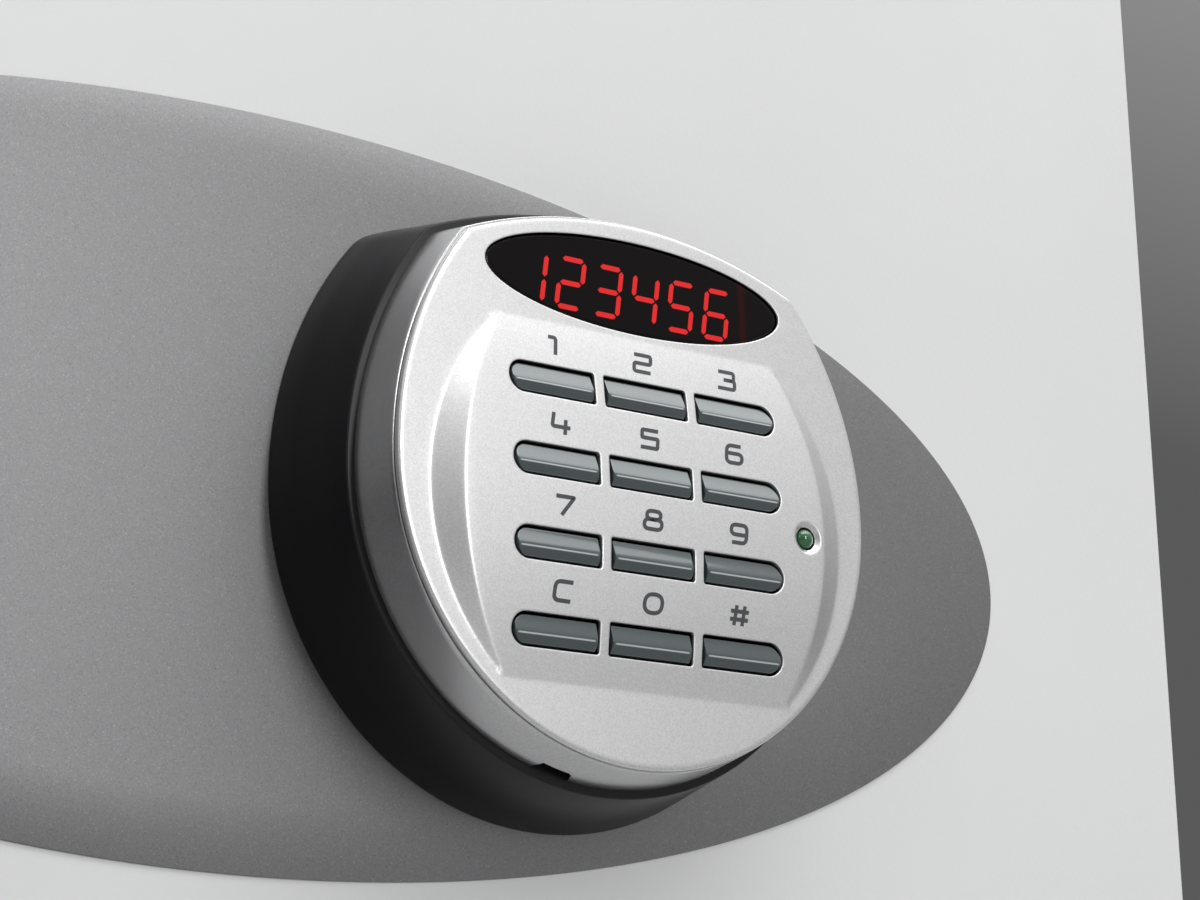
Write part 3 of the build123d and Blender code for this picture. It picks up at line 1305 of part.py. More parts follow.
def battery_tray():
    """Open tray that holds the cells on the floor of the base, with the socket for the cable."""
    half_x = (BATTERY_L + BATTERY_NUB_L) / 2 + CONTACT_SPRING_L + CONTACT_T
    half_z = BATTERY_PITCH * (BATTERY_COUNT - 1) / 2 + BATTERY_R + TRAY_SIDE_GAP
    level = (FLOOR_LEVEL, FLOOR_LEVEL + TRAY_H)
    outer_x = half_x + TRAY_T
    outer_z = half_z + TRAY_T
    tray = pad_block((-outer_x, outer_x), level, (BATTERY_Z - outer_z, BATTERY_Z + outer_z))
    cavity = (FLOOR_LEVEL + TRAY_FLOOR_T, level[1])
    tray -= pad_block((-half_x, half_x), cavity, (BATTERY_Z - half_z, BATTERY_Z + half_z))
    socket_z = (-CABLE_DROP - SOCKET_H, BATTERY_Z - outer_z)
    return tray + pad_block((-SOCKET_W / 2, SOCKET_W / 2), (FLOOR_LEVEL, FLOOR_LEVEL + SOCKET_T), socket_z)


PARTS = (
    cabinet_wrap,
    back_panel,
    front_frame,
    strike_boxes,
    inner_liner,
    cabinet_insulation,
    anchor_sleeves,
    shelf,
    shelf_clips,
    door_seal,
    hinge_brackets,
    hinge_pins,
    hinge_knuckles,
    door_skin,
    door_insulation,
    door_back_plate,
    oval_plate,
    spindle_tube,
    cable_tube,
    lock_cable,
    boltwork_cover,
    cover_pillars,
    panel_screws,
    dog_bar,
    bolt_guide,
    guide_studs,
    carriage_plate,
    locking_bolts,
    lock_unit,
    lock_plunger,
    handle_rose,
    handle_lever,
    handle_cap,
    handle_spindle,
    crank,
    crank_screw,
    keypad_base,
    battery_tray,
    battery_contacts,
    batteries,
    front_shell,
    fascia,
    display_window,
    display_module,
    status_led,
    circuit_board,
    board_screws,
    key_mat,
)

for make in PARTS:
    save(make.__name__, make())

for key_row, names in enumerate(KEY_NAMES):
    for key_column, name in enumerate(names):
        save(f"key_{name}", key(key_column, key_row))
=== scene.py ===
import json
import math

import bmesh
import bpy
import numpy as np
from mathutils import Matrix, Vector
from mathutils.geometry import delaunay_2d_cdt

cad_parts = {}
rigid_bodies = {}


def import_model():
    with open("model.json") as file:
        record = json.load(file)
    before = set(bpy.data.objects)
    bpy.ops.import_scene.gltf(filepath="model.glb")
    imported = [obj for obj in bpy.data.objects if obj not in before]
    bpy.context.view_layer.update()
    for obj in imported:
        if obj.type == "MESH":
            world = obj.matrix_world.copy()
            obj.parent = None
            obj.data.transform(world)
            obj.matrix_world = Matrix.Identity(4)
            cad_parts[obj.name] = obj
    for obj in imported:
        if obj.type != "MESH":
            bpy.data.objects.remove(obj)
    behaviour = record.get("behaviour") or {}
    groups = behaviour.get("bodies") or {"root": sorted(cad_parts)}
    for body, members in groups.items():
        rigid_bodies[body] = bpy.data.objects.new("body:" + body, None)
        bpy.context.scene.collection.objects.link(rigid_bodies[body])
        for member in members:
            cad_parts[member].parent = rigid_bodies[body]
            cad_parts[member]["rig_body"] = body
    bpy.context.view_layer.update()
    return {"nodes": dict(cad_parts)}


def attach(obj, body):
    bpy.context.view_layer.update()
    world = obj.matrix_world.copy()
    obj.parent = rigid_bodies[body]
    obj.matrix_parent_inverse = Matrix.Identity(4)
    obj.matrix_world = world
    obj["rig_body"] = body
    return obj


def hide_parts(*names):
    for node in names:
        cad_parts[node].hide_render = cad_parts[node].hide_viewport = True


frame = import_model()
nodes = frame["nodes"]

# View. The camera stands below and to the left of the keypad, at the photograph's viewing angle,
# and looks up at it. Places are in metres, and the keypad's own frame starts at KEYPAD, the middle
# of its key field: X to the right, heights outwards from the door, Z up.
MM = 0.001
KEYPAD = np.array([48.56, -233.76, 169.6]) * MM
CAMERA_PLACE = Vector(KEYPAD) + Vector((-250.98, -338.11, -104.93)) * MM
CAMERA_RIGHT = Vector((0.81670806, -0.57692103, -0.01224993))
CAMERA_UP = Vector((-0.14425706, -0.22467738, 0.963696))
CAMERA_LENS_MM = 80.58

camera = bpy.data.objects.new("photo_camera", bpy.data.cameras.new("photo_camera"))
bpy.context.scene.collection.objects.link(camera)
camera.data.sensor_width = 36.0
camera.data.lens = CAMERA_LENS_MM
camera.data.clip_start = 0.01
turn = Matrix((CAMERA_RIGHT, CAMERA_UP, CAMERA_RIGHT.cross(CAMERA_UP))).transposed()
camera.matrix_world = Matrix.Translation(CAMERA_PLACE) @ turn.to_4x4()
bpy.context.scene.camera = camera
bpy.context.scene.view_settings.view_transform = "Standard"


def new_material(name):
    """A material with a Principled shader. Returns the material, its node tree and the shader."""
    material = bpy.data.materials.new(name)
    material.use_nodes = True
    tree = material.node_tree
    return material, tree, tree.nodes["Principled BSDF"]


def wire(tree, source, target):
    """Joins an output socket to an input socket."""
    tree.links.new(source, target)


# Studio. A pale seamless floor under the safe, a broad soft light overhead, a large one in front
# on the right and a faint one on the left, with even pale light all round.
FLOOR_HALF = 4.0
FLOOR_COLOUR = (0.40, 0.40, 0.405, 1.0)

floor_mesh = bpy.data.meshes.new("studio_floor")
corners = [(-FLOOR_HALF, -FLOOR_HALF, 0), (FLOOR_HALF, -FLOOR_HALF, 0)]
corners += [(FLOOR_HALF, FLOOR_HALF, 0), (-FLOOR_HALF, FLOOR_HALF, 0)]
floor_mesh.from_pydata(corners, [], [(0, 1, 2, 3)])
floor = bpy.data.objects.new("studio_floor", floor_mesh)
bpy.context.scene.collection.objects.link(floor)
floor_paint, floor_tree, floor_shader = new_material("pale_floor")
floor_shader.inputs["Base Color"].default_value = FLOOR_COLOUR
floor_shader.inputs["Roughness"].default_value = 0.7
floor_mesh.materials.append(floor_paint)

world = bpy.data.worlds.new("studio")
bpy.context.scene.world = world
world.use_nodes = True
sky = world.node_tree
sky_way = sky.nodes.new("ShaderNodeTexCoord")
sky_share = sky.nodes.new("ShaderNodeVectorMath")
sky_share.operation = "DOT_PRODUCT"
sky_share.inputs[1].default_value = Vector((0.22, -0.30, 0.92)).normalized()
sky_ramp = sky.nodes.new("ShaderNodeValToRGB")
sky_ramp.color_ramp.elements[0].position = 0.60
sky_ramp.color_ramp.elements[0].color = (0.13, 0.13, 0.132, 1.0)
sky_ramp.color_ramp.elements[1].position = 0.93
sky_ramp.color_ramp.elements[1].color = (1.0, 1.0, 1.0, 1.0)
sky_half = sky.nodes.new("ShaderNodeMapRange")
sky_half.inputs["From Min"].default_value = -1.0
wire(sky, sky_way.outputs["Generated"], sky_share.inputs[0])
wire(sky, sky_share.outputs["Value"], sky_half.inputs["Value"])
wire(sky, sky_half.outputs["Result"], sky_ramp.inputs["Fac"])
wire(sky, sky_ramp.outputs["Color"], sky.nodes["Background"].inputs["Color"])
sky.nodes["Background"].inputs["Strength"].default_value = 0.78


def soft_light(name, place, target, width, height, watts, colour):
    """A rectangular soft box that faces a target."""
    light = bpy.data.lights.new(name, "AREA")
    light.shape = "RECTANGLE"
    light.size, light.size_y = width, height
    light.energy = watts
    light.color = colour
    lamp = bpy.data.objects.new(name, light)
    bpy.context.scene.collection.objects.link(lamp)
    lamp.visible_camera = False
    lamp.location = place
    lamp.rotation_euler = (Vector(target) - Vector(place)).to_track_quat("-Z", "Y").to_euler()


soft_light("overhead_box", (0.15, -1.05, 1.70), (0.05, -0.22, 0.17), 1.3, 0.8, 11.0, (1.0, 1.0, 1.0))
soft_light("key_box", (0.95, -0.62, 1.42), (0.05, -0.22, 0.17), 1.1, 0.6, 4.2, (1.0, 1.0, 1.0))
soft_light("front_box", (0.48, -2.12, 0.72), (0.05, -0.22, 0.17), 0.13, 0.95, 7.9, (1.0, 1.0, 1.0))
soft_light("left_box", (-1.5, -1.3, 1.0), (0.0, -0.2, 0.18), 0.5, 0.9, 2.1, (1.0, 1.0, 1.0))

def new_group(name, inputs, outputs):
    """A shader node group with its named number inputs and its outputs. Returns the tree and both ends."""
    tree = bpy.data.node_groups.new(name, "ShaderNodeTree")
    for title, value in inputs.items():
        tree.interface.new_socket(title, in_out="INPUT", socket_type="NodeSocketFloat").default_value = value
    for title, kind in outputs.items():
        tree.interface.new_socket(title, in_out="OUTPUT", socket_type=kind)
    return tree, tree.nodes.new("NodeGroupInput"), tree.nodes.new("NodeGroupOutput")


def add_node(tree, kind, **settings):
    """A node of a tree with some of its properties and of its inputs' values set."""
    node = tree.nodes.new(kind)
    for key, value in settings.items():
        if hasattr(node, key):
            setattr(node, key, value)
        else:
            node.inputs[key.replace("_", " ")].default_value = value
    return node


# Cabinet steel and its powder coat. The coat is sprayed dry and baked, so that it flows out to a
# fine orange peel: low soft waves, with a finer grain on them and faint cloudiness in its tone.
def make_coat_group():
    """Waves and grain of a baked coat: noise at two scales turned into a normal, and a slow tone from 0 to 1."""
    sizes = {"Wave Scale": 900.0, "Wave Depth": 0.00003, "Grain Scale": 6000.0, "Grain Depth": 0.000004}
    tree, given, result = new_group(
        "baked_coat", sizes, {"Normal": "NodeSocketVector", "Tone": "NodeSocketFloat"})
    place = add_node(tree, "ShaderNodeTexCoord")
    wave = add_node(tree, "ShaderNodeTexNoise", Detail=2.0)
    grain = add_node(tree, "ShaderNodeTexNoise", Detail=3.0)
    cloud = add_node(tree, "ShaderNodeTexNoise", Scale=14.0, Detail=4.0)
    low = add_node(tree, "ShaderNodeBump")
    high = add_node(tree, "ShaderNodeBump")
    for noise in (wave, grain, cloud):
        wire(tree, place.outputs["Object"], noise.inputs["Vector"])
    wire(tree, given.outputs["Wave Scale"], wave.inputs["Scale"])
    wire(tree, given.outputs["Grain Scale"], grain.inputs["Scale"])
    wire(tree, wave.outputs["Fac"], low.inputs["Height"])
    wire(tree, given.outputs["Wave Depth"], low.inputs["Distance"])
    wire(tree, grain.outputs["Fac"], high.inputs["Height"])
    wire(tree, given.outputs["Grain Depth"], high.inputs["Distance"])
    wire(tree, low.outputs["Normal"], high.inputs["Normal"])
    wire(tree, high.outputs["Normal"], result.inputs["Normal"])
    wire(tree, cloud.outputs["Fac"], result.inputs["Tone"])
    return tree


coat_group = make_coat_group()


def place_group(tree, group, **values):
    """A node group placed in a material, with its own values."""
    node = tree.nodes.new("ShaderNodeGroup")
    node.node_tree = group
    for key, value in values.items():
        node.inputs[key.replace("_", " ")].default_value = value
    return node


def tinted(tree, source, low, high, target):
    """A colour that runs from low to high as a value goes from 0.3 to 0.7, sent to a target socket."""
    ramp = tree.nodes.new("ShaderNodeValToRGB")
    ramp.color_ramp.elements[0].position = 0.3
    ramp.color_ramp.elements[1].position = 0.7
    ramp.color_ramp.elements[0].color = (*low, 1.0)
    ramp.color_ramp.elements[1].color = (*high, 1.0)
    wire(tree, source, ramp.inputs["Fac"])
    wire(tree, ramp.outputs["Color"], target)


def coated(name, low, high, roughness, metallic=0.0, clear=0.0, **coat):
    """A baked or moulded finish: a tone between two near colours, and the waves and grain of its coat."""
    material, tree, shader = new_material(name)
    shader.inputs["Roughness"].default_value = roughness
    shader.inputs["Metallic"].default_value = metallic
    shader.inputs["Coat Weight"].default_value = clear
    skin = place_group(tree, coat_group, **coat)
    wire(tree, skin.outputs["Normal"], shader.inputs["Normal"])
    tinted(tree, skin.outputs["Tone"], low, high, shader.inputs["Base Color"])
    return material


def eased(node, paint, radius=0.0, segments=2, sharp=32.0):
    """A copy of a node's mesh with its doubled points merged, its flats joined and its edges rounded."""
    mesh = nodes[node].data.copy()
    mesh.name = node + "_finished"
    shape = bmesh.new()
    shape.from_mesh(mesh)
    bmesh.ops.remove_doubles(shape, verts=shape.verts, dist=2e-6)
    bmesh.ops.dissolve_limit(shape, angle_limit=math.radians(0.6), verts=shape.verts, edges=shape.edges)
    shape.to_mesh(mesh)
    shape.free()
    mesh.materials.clear()
    mesh.materials.append(paint)
    mesh.shade_smooth()
    mesh.set_sharp_from_angle(angle=math.radians(sharp))
    piece = bpy.data.objects.new(node + "_finished", mesh)
    bpy.context.scene.collection.objects.link(piece)
    if radius:
        bevel = piece.modifiers.new("edge_radius", "BEVEL")
        bevel.width = radius * MM
        bevel.segments = segments
        bevel.limit_method = "ANGLE"
        bevel.angle_limit = math.radians(sharp)
        bevel.use_clamp_overlap = True
        bevel.harden_normals = True
    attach(piece, nodes[node]["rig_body"])
    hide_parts(node)
    return piece


cabinet_coat = coated("cabinet_powder_coat", (0.60, 0.61, 0.62), (0.66, 0.67, 0.68), 0.42)
for node, radius in (("cabinet_wrap", 0.5), ("back_panel", 0.6), ("front_frame", 0.4), ("strike_boxes", 0.3)):
    eased(node, cabinet_coat, radius)

# Inside of the cabinet: drawn liner, folded shelf and its clips, sprayed a darker grey.
inner_coat = coated("inner_grey_coat", (0.29, 0.30, 0.31), (0.34, 0.35, 0.36), 0.5, Wave_Depth=0.00002)
for node, radius in (("inner_liner", 0.4), ("shelf", 0.4), ("shelf_clips", 0.3)):
    eased(node, inner_coat, radius)

# Fire fill, cast round the liner and into the door, and the plastic sleeves cast into it.
fill_cast = coated("cast_fire_fill", (0.42, 0.40, 0.36), (0.56, 0.54, 0.50), 0.9,
                   Wave_Scale=260.0, Wave_Depth=0.0006, Grain_Scale=1500.0, Grain_Depth=0.0001)
sleeve_moulding = coated("sleeve_moulding", (0.50, 0.50, 0.48), (0.56, 0.56, 0.54), 0.45)
for node in ("cabinet_insulation", "door_insulation"):
    eased(node, fill_cast)
for node in ("anchor_sleeves", "cable_tube"):
    eased(node, sleeve_moulding)

# Door seal, an extruded strip that swells in a fire.
seal_strip = coated("swelling_seal", (0.018, 0.018, 0.019), (0.028, 0.028, 0.029), 0.75, Wave_Scale=2500.0)
eased("door_seal", seal_strip, 0.3)


# Bare steel of the hinge pins, the boltwork and the door's inner plate, ground and lightly zinc plated.
def make_ground_group():
    """Ground lines: noise drawn out along X, turned into a normal and a tone, with a slow zinc cloudiness."""
    tree, given, result = new_group(
        "ground_steel", {"Lines": 2600.0, "Depth": 0.000004},
        {"Normal": "NodeSocketVector", "Tone": "NodeSocketFloat", "Cloud": "NodeSocketFloat"})
    place = add_node(tree, "ShaderNodeTexCoord")
    stretch = add_node(tree, "ShaderNodeMapping")
    stretch.inputs["Scale"].default_value = (0.04, 1.0, 1.0)
    lines = add_node(tree, "ShaderNodeTexNoise", Detail=3.0)
    cloud = add_node(tree, "ShaderNodeTexNoise", Scale=90.0, Detail=5.0)
    bump = add_node(tree, "ShaderNodeBump")
    wire(tree, place.outputs["Object"], stretch.inputs["Vector"])
    wire(tree, stretch.outputs["Vector"], lines.inputs["Vector"])
    wire(tree, place.outputs["Object"], cloud.inputs["Vector"])
    wire(tree, given.outputs["Lines"], lines.inputs["Scale"])
    wire(tree, given.outputs["Depth"], bump.inputs["Distance"])
    wire(tree, lines.outputs["Fac"], bump.inputs["Height"])
    wire(tree, bump.outputs["Normal"], result.inputs["Normal"])
    wire(tree, lines.outputs["Fac"], result.inputs["Tone"])
    wire(tree, cloud.outputs["Fac"], result.inputs["Cloud"])
    return tree


ground_group = make_ground_group()


def ground_metal(name, low, high, roughness, **cut):
    """A bare or plated metal with ground lines."""
    material, tree, shader = new_material(name)
    shader.inputs["Metallic"].default_value = 1.0
    skin = place_group(tree, ground_group, **cut)
    tinted(tree, skin.outputs["Cloud"], low, high, shader.inputs["Base Color"])
    wire(tree, skin.outputs["Normal"], shader.inputs["Normal"])
    spread = add_node(tree, "ShaderNodeMapRange", To_Min=roughness - 0.06, To_Max=roughness + 0.08)
    wire(tree, skin.outputs["Tone"], spread.inputs["Value"])
    wire(tree, spread.outputs["Result"], shader.inputs["Roughness"])
    return material


ground_steel = ground_metal("ground_steel", (0.52, 0.53, 0.54), (0.62, 0.63, 0.64), 0.34)
zinc_plate = ground_metal("zinc_plate", (0.46, 0.48, 0.50), (0.62, 0.63, 0.62), 0.38, Depth=0.000002)
for node, radius in (("hinge_pins", 0.3), ("dog_bar", 0.4), ("locking_bolts", 0.3), ("handle_spindle", 0.3),
                     ("crank", 0.4), ("crank_screw", 0.2), ("lock_plunger", 0.3), ("guide_studs", 0.3)):
    eased(node, ground_steel, radius)
for node, radius in (("door_back_plate", 0.3), ("spindle_tube", 0.0), ("cover_pillars", 0.2), ("panel_screws", 0.3),
                     ("bolt_guide", 0.3), ("carriage_plate", 0.3), ("board_screws", 0.2)):
    eased(node, zinc_plate, radius)

# Hinges. Bent leaves with rolled knuckles, welded on and painted over with the cabinet.
for node in ("hinge_brackets", "hinge_knuckles"):
    eased(node, cabinet_coat, 0.4)

# Door. A pressed steel skin with turned edges, in a cool pale powder coat, and the boltwork's cover.
door_coat = coated("door_powder_coat", (0.79, 0.792, 0.793), (0.81, 0.812, 0.813), 0.4)
eased("door_skin", door_coat, 0.7, 3)
eased("boltwork_cover", inner_coat, 0.5)

# Lock unit, a die cast housing, and the cable that runs to it from the keypad.
lock_cast = coated("lock_die_casting", (0.30, 0.31, 0.32), (0.36, 0.37, 0.38), 0.42, 0.85, Wave_Scale=1600.0)
cable_skin = coated("cable_jacket", (0.012, 0.012, 0.013), (0.018, 0.018, 0.019), 0.45)
eased("lock_unit", lock_cast, 0.4)
eased("lock_cable", cable_skin)

# Oval trim plate. Thin steel, stamped to an oval behind the lock and the handle, and sprayed a
# speckled mid grey. Its edge is rolled over the thickness of the sheet.
OVAL_REACH = np.array([152.5, 62.8])
OVAL_MIDDLE = (0.0, -202.0, 175.0)
OVAL_THICK = 0.5
OVAL_SIDES = 256


def make_speckle_group():
    """Specks of a spatter finish: fine noise cut at two heights, one for dark specks and one for pale ones."""
    tree, given, result = new_group(
        "spatter_specks", {"Speck Scale": 4200.0, "Depth": 0.000012},
        {"Dark": "NodeSocketFloat", "Pale": "NodeSocketFloat", "Normal": "NodeSocketVector"})
    place = add_node(tree, "ShaderNodeTexCoord")
    specks = add_node(tree, "ShaderNodeTexNoise", Detail=2.0, Roughness=0.6)
    dark = add_node(tree, "ShaderNodeMapRange", From_Min=0.42, From_Max=0.30)
    pale = add_node(tree, "ShaderNodeMapRange", From_Min=0.60, From_Max=0.74)
    bump = add_node(tree, "ShaderNodeBump")
    wire(tree, place.outputs["Object"], specks.inputs["Vector"])
    wire(tree, given.outputs["Speck Scale"], specks.inputs["Scale"])
    wire(tree, given.outputs["Depth"], bump.inputs["Distance"])
    wire(tree, specks.outputs["Fac"], bump.inputs["Height"])
    for node, title in ((dark, "Dark"), (pale, "Pale")):
        wire(tree, specks.outputs["Fac"], node.inputs["Value"])
        wire(tree, node.outputs["Result"], result.inputs[title])
    wire(tree, bump.outputs["Normal"], result.inputs["Normal"])
    return tree


speckle_group = make_speckle_group()


def mixed(tree, share, first, second, target=None):
    """A colour mixed from a socket or a plain colour towards another by a value."""
    mix = add_node(tree, "ShaderNodeMix", data_type="RGBA")
    wire(tree, share, mix.inputs[0])
    for socket, colour in ((mix.inputs[6], first), (mix.inputs[7], second)):
        if isinstance(colour, tuple):
            socket.default_value = (*colour, 1.0)
        else:
            wire(tree, colour, socket)
    if target:
        wire(tree, mix.outputs[2], target)
    return mix.outputs[2]


spatter_grey, tree, shader = new_material("oval_spatter_grey")
specks = place_group(tree, speckle_group)
with_dark = mixed(tree, specks.outputs["Dark"], (0.228, 0.228, 0.232), (0.165, 0.165, 0.168))
mixed(tree, specks.outputs["Pale"], with_dark, (0.355, 0.355, 0.359), shader.inputs["Base Color"])
wire(tree, specks.outputs["Normal"], shader.inputs["Normal"])
shader.inputs["Roughness"].default_value = 0.42
shader.inputs["Metallic"].default_value = 0.6


def loft(rings, wrapped=False):
    """Points and faces of a skin over closed rings, R by C by 3. Its ends are shut by fans, or meet if wrapped."""
    count, columns = rings.shape[:2]
    near = np.arange(count * columns).reshape(count, columns)
    if wrapped:
        near = np.concatenate([near, near[:1]])
    far = np.roll(near, -1, axis=1)
    quads = np.stack([near[:-1], far[:-1], far[1:], near[1:]], -1).reshape(-1, 4).tolist()
    points = rings.reshape(-1, 3)
    if wrapped:
        return points, quads
    middles = rings[[0, -1]].mean(axis=1)
    fans = []
    for end, row in ((0, 0), (1, -1)):
        hub = np.full(columns, len(points) + end)
        fans += np.stack([near[row], far[row], hub], -1).tolist()
    return np.concatenate([points, middles]), quads + fans


def add_piece(name, points, faces, paint, body, replaced=(), sharp=32.0):
    """A smooth piece from points in metres and faces, welded, turned outwards and set on its body."""
    mesh = bpy.data.meshes.new(name)
    mesh.from_pydata(np.asarray(points).reshape(-1, 3).tolist(), [], faces)
    shape = bmesh.new()
    shape.from_mesh(mesh)
    bmesh.ops.remove_doubles(shape, verts=shape.verts, dist=2e-6)
    bmesh.ops.recalc_face_normals(shape, faces=shape.faces)
    shape.to_mesh(mesh)
    shape.free()
    mesh.materials.append(paint)
    mesh.shade_smooth()
    mesh.set_sharp_from_angle(angle=math.radians(sharp))
    piece = bpy.data.objects.new(name, mesh)
    bpy.context.scene.collection.objects.link(piece)
    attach(piece, body)
    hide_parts(*replaced)
    return piece


def oval_rings():
    """Ellipses drawn in from the edge by a quarter round, then to a third of the reach, front and back."""
    turn = np.linspace(0.0, math.tau, OVAL_SIDES, endpoint=False)
    bend = np.linspace(0.0, math.pi / 2, 5)
    inset = np.concatenate([[100.0, 0.0], 0.35 * (1 - np.cos(bend)), [30.0, 100.0]])
    out = np.concatenate([[0.0, 0.0], OVAL_THICK - 0.35 + 0.35 * np.sin(bend), [OVAL_THICK] * 2])
    reach = np.maximum(OVAL_REACH - inset[:, None] * [1.0, 0.4], [20.0, 8.0])
    x = OVAL_MIDDLE[0] + reach[:, :1] * np.cos(turn)
    z = OVAL_MIDDLE[2] + reach[:, 1:] * np.sin(turn)
    y = OVAL_MIDDLE[1] - out[:, None] + 0 * turn
    return np.stack([x, y, z], -1) * MM


points, faces = loft(oval_rings())
add_piece("oval_plate_stamped", points, faces, spatter_grey, "door", ["oval_plate"])

# Handle. A die cast lever with a satin silver finish, its cap and a black moulded rose.
lever_silver = coated("lever_satin_silver", (0.56, 0.565, 0.57), (0.60, 0.605, 0.61), 0.28, 0.9, Wave_Depth=0.000006)
black_moulding = coated("black_moulding", (0.0048, 0.0045, 0.0060), (0.0064, 0.0060, 0.0078), 0.36,
                        Wave_Scale=1500.0, Wave_Depth=0.000006, Grain_Depth=0.000002)
black_moulding.node_tree.nodes["Principled BSDF"].inputs["Specular IOR Level"].default_value = 0.32
for node, radius in (("handle_lever", 0.5), ("handle_cap", 0.2)):
    eased(node, lever_silver, radius, 3)
eased("handle_rose", black_moulding, 0.3)

# Battery tray, its plated contacts and four batteries in plain dark jackets with a bright end band.
tray_moulding = coated("tray_moulding", (0.020, 0.020, 0.021), (0.026, 0.026, 0.027), 0.5)
contact_plate = ground_metal("contact_plate", (0.60, 0.50, 0.30), (0.70, 0.60, 0.38), 0.3)
cell_jacket = coated("cell_jacket", (0.035, 0.04, 0.05), (0.045, 0.05, 0.06), 0.25, 0.6, Wave_Depth=0.000002)
eased("battery_tray", tray_moulding, 0.2)
eased("battery_contacts", contact_plate)
eased("batteries", cell_jacket, 0.3)

# Circuit board with its green solder mask, and the rubber mat that carries a dome under each key.
solder_mask = coated("solder_mask", (0.012, 0.075, 0.035), (0.016, 0.095, 0.045), 0.3, Wave_Depth=0.000004)
mat_rubber = coated("mat_rubber", (0.10, 0.10, 0.105), (0.13, 0.13, 0.135), 0.7)
eased("circuit_board", solder_mask)
eased("key_mat", mat_rubber, 0.1)
eased("display_module", black_moulding, 0.2)


def at_keypad(x, level, z):
    """Places in metres from millimetres in the keypad's frame: to the right, outwards and up."""
    x, level, z = np.broadcast_arrays(x, level, z)
    return np.stack([KEYPAD[0] + x * MM, KEYPAD[1] - level * MM, KEYPAD[2] + z * MM], -1)


# Keypad outline. The rim is a circle below, two flatter arcs up its sides and a bow across the
# top, which meet in small corners. Every part of the keypad follows it, grown or shrunk.
RIM_R = 46.58
RIM_CENTRE = np.array([0.0, 6.03])
RIM_SIDE_R = 61.3
RIM_BOW_R = 84.0
RIM_BOW_TOP = 51.15
RIM_CORNER_R = 2.0


def rim_outline(step):
    """Points and outward normals round the keypad's rim, from the lowest point to the right, on four arcs."""
    side = RIM_CENTRE - [RIM_SIDE_R - RIM_R, 0.0]
    bow = np.array([0.0, RIM_BOW_TOP - RIM_BOW_R])
    near, far = RIM_SIDE_R - RIM_CORNER_R, RIM_BOW_R - RIM_CORNER_R
    gap = np.hypot(*(bow - side))
    along = (near**2 - far**2 + gap**2) / (2 * gap)
    way = (bow - side) / gap
    corner = side + along * way + math.sqrt(near**2 - along**2) * np.array([-way[1], way[0]])
    first = math.atan2(*(corner - side)[::-1])
    last = math.atan2(*(corner - bow)[::-1])
    arcs = [(RIM_CENTRE, RIM_R, -math.pi / 2, 0.0), (side, RIM_SIDE_R, 0.0, first),
            (corner, RIM_CORNER_R, first, last), (bow, RIM_BOW_R, last, math.pi / 2)]
    middles, normals = [], []
    for centre, radius, start, end in arcs:
        count = max(int((end - start) * radius / step), 6)
        turn = np.linspace(start, end, count, endpoint=False)
        normal = np.stack([np.cos(turn), np.sin(turn)], -1)
        middles.append(centre + radius * normal)
        normals.append(normal)
    right, out = np.concatenate(middles), np.concatenate(normals)
    top = np.array([[0.0, RIM_BOW_TOP]])
    mirror = np.array([-1.0, 1.0])
    return (np.concatenate([right, top, right[:0:-1] * mirror]),
            np.concatenate([out, [[0.0, 1.0]], out[:0:-1] * mirror]))


# Keypad base. A black moulded plinth that flares towards the door. It has a thin ledge that the front
# rests on, a low spigot inside the front's skirt, and an open well for the batteries.
BASE_SECTION = ((-31.26, -30.0), (-31.26, 5.5), (-31.26, 6.66), (-31.17, 6.87), (-30.96, 6.92), (-25.0, 5.70),
                (-19.0, 4.49), (-13.0, 3.28), (-12.86, 3.21), (-12.74, 3.09), (-12.68, 2.9), (-12.68, 0.0),
                (-12.68, -0.6), (-10.68, -0.6), (-10.58, -0.7), (-10.58, -2.5), (-10.68, -2.6), (-28.76, -2.6),
                (-28.76, -4.0), (-28.76, -30.0))


def carried_section(section, step):
    """Rings of a section, pairs of height and growth, carried round the keypad's outline."""
    outline, out = rim_outline(step)
    rings = []
    for level, grow in section:
        place = outline + out * grow if grow > -6.0 else outline * (1.0 + grow / RIM_R)
        rings.append(at_keypad(place[:, 0], level, place[:, 1]))
    return np.array(rings)


points, faces = loft(carried_section(BASE_SECTION, 0.8))
add_piece("keypad_base_moulded", points, faces, black_moulding, "door", ["keypad_base"], 30.0)

# Fascia. One thin moulding in silver metallic paint: a gently arched rim with a higher arched field
# for the keys, whose bowed sides fall away in bevels. Keys, window and lamp come through its holes.
RIM_FLARE = 0.173
RIM_EDGE_LEVEL = -1.9
FIELD_RISE = 2.315
FIELD_MIDDLE = 1.4
FIELD_HALF = 29.7
FIELD_TOP_WIDTH = 35.92
FIELD_FOOT_WIDTH = 40.82
FIELD_CORNER = 27.5
CREASE_SOFT = 0.22
KEY_COLUMNS = np.array([-18.5, 0.0, 18.5])
KEY_ROWS = np.array([20.505, 6.835, -6.835, -20.505])
HOLE_HALF = np.array([8.325, 2.75])
HOLE_CORNER = 0.45
WINDOW_MIDDLE = np.array([0.0, 39.98])
WINDOW_REACH = np.array([30.07, 8.17])
LAMP_PLACE = np.array([32.3, 0.9])
LAMP_HOLE_R = 2.0
LAMP_CONE = 0.75
EDGE_R = 0.55
HOLE_EDGE_R = 0.14
FASCIA_THICK = 1.0


def rim_level(z):
    """Height of the rim's face: a very flat arch in Z."""
    return -2.31 - 0.0175 * z - 0.000216 * z**2


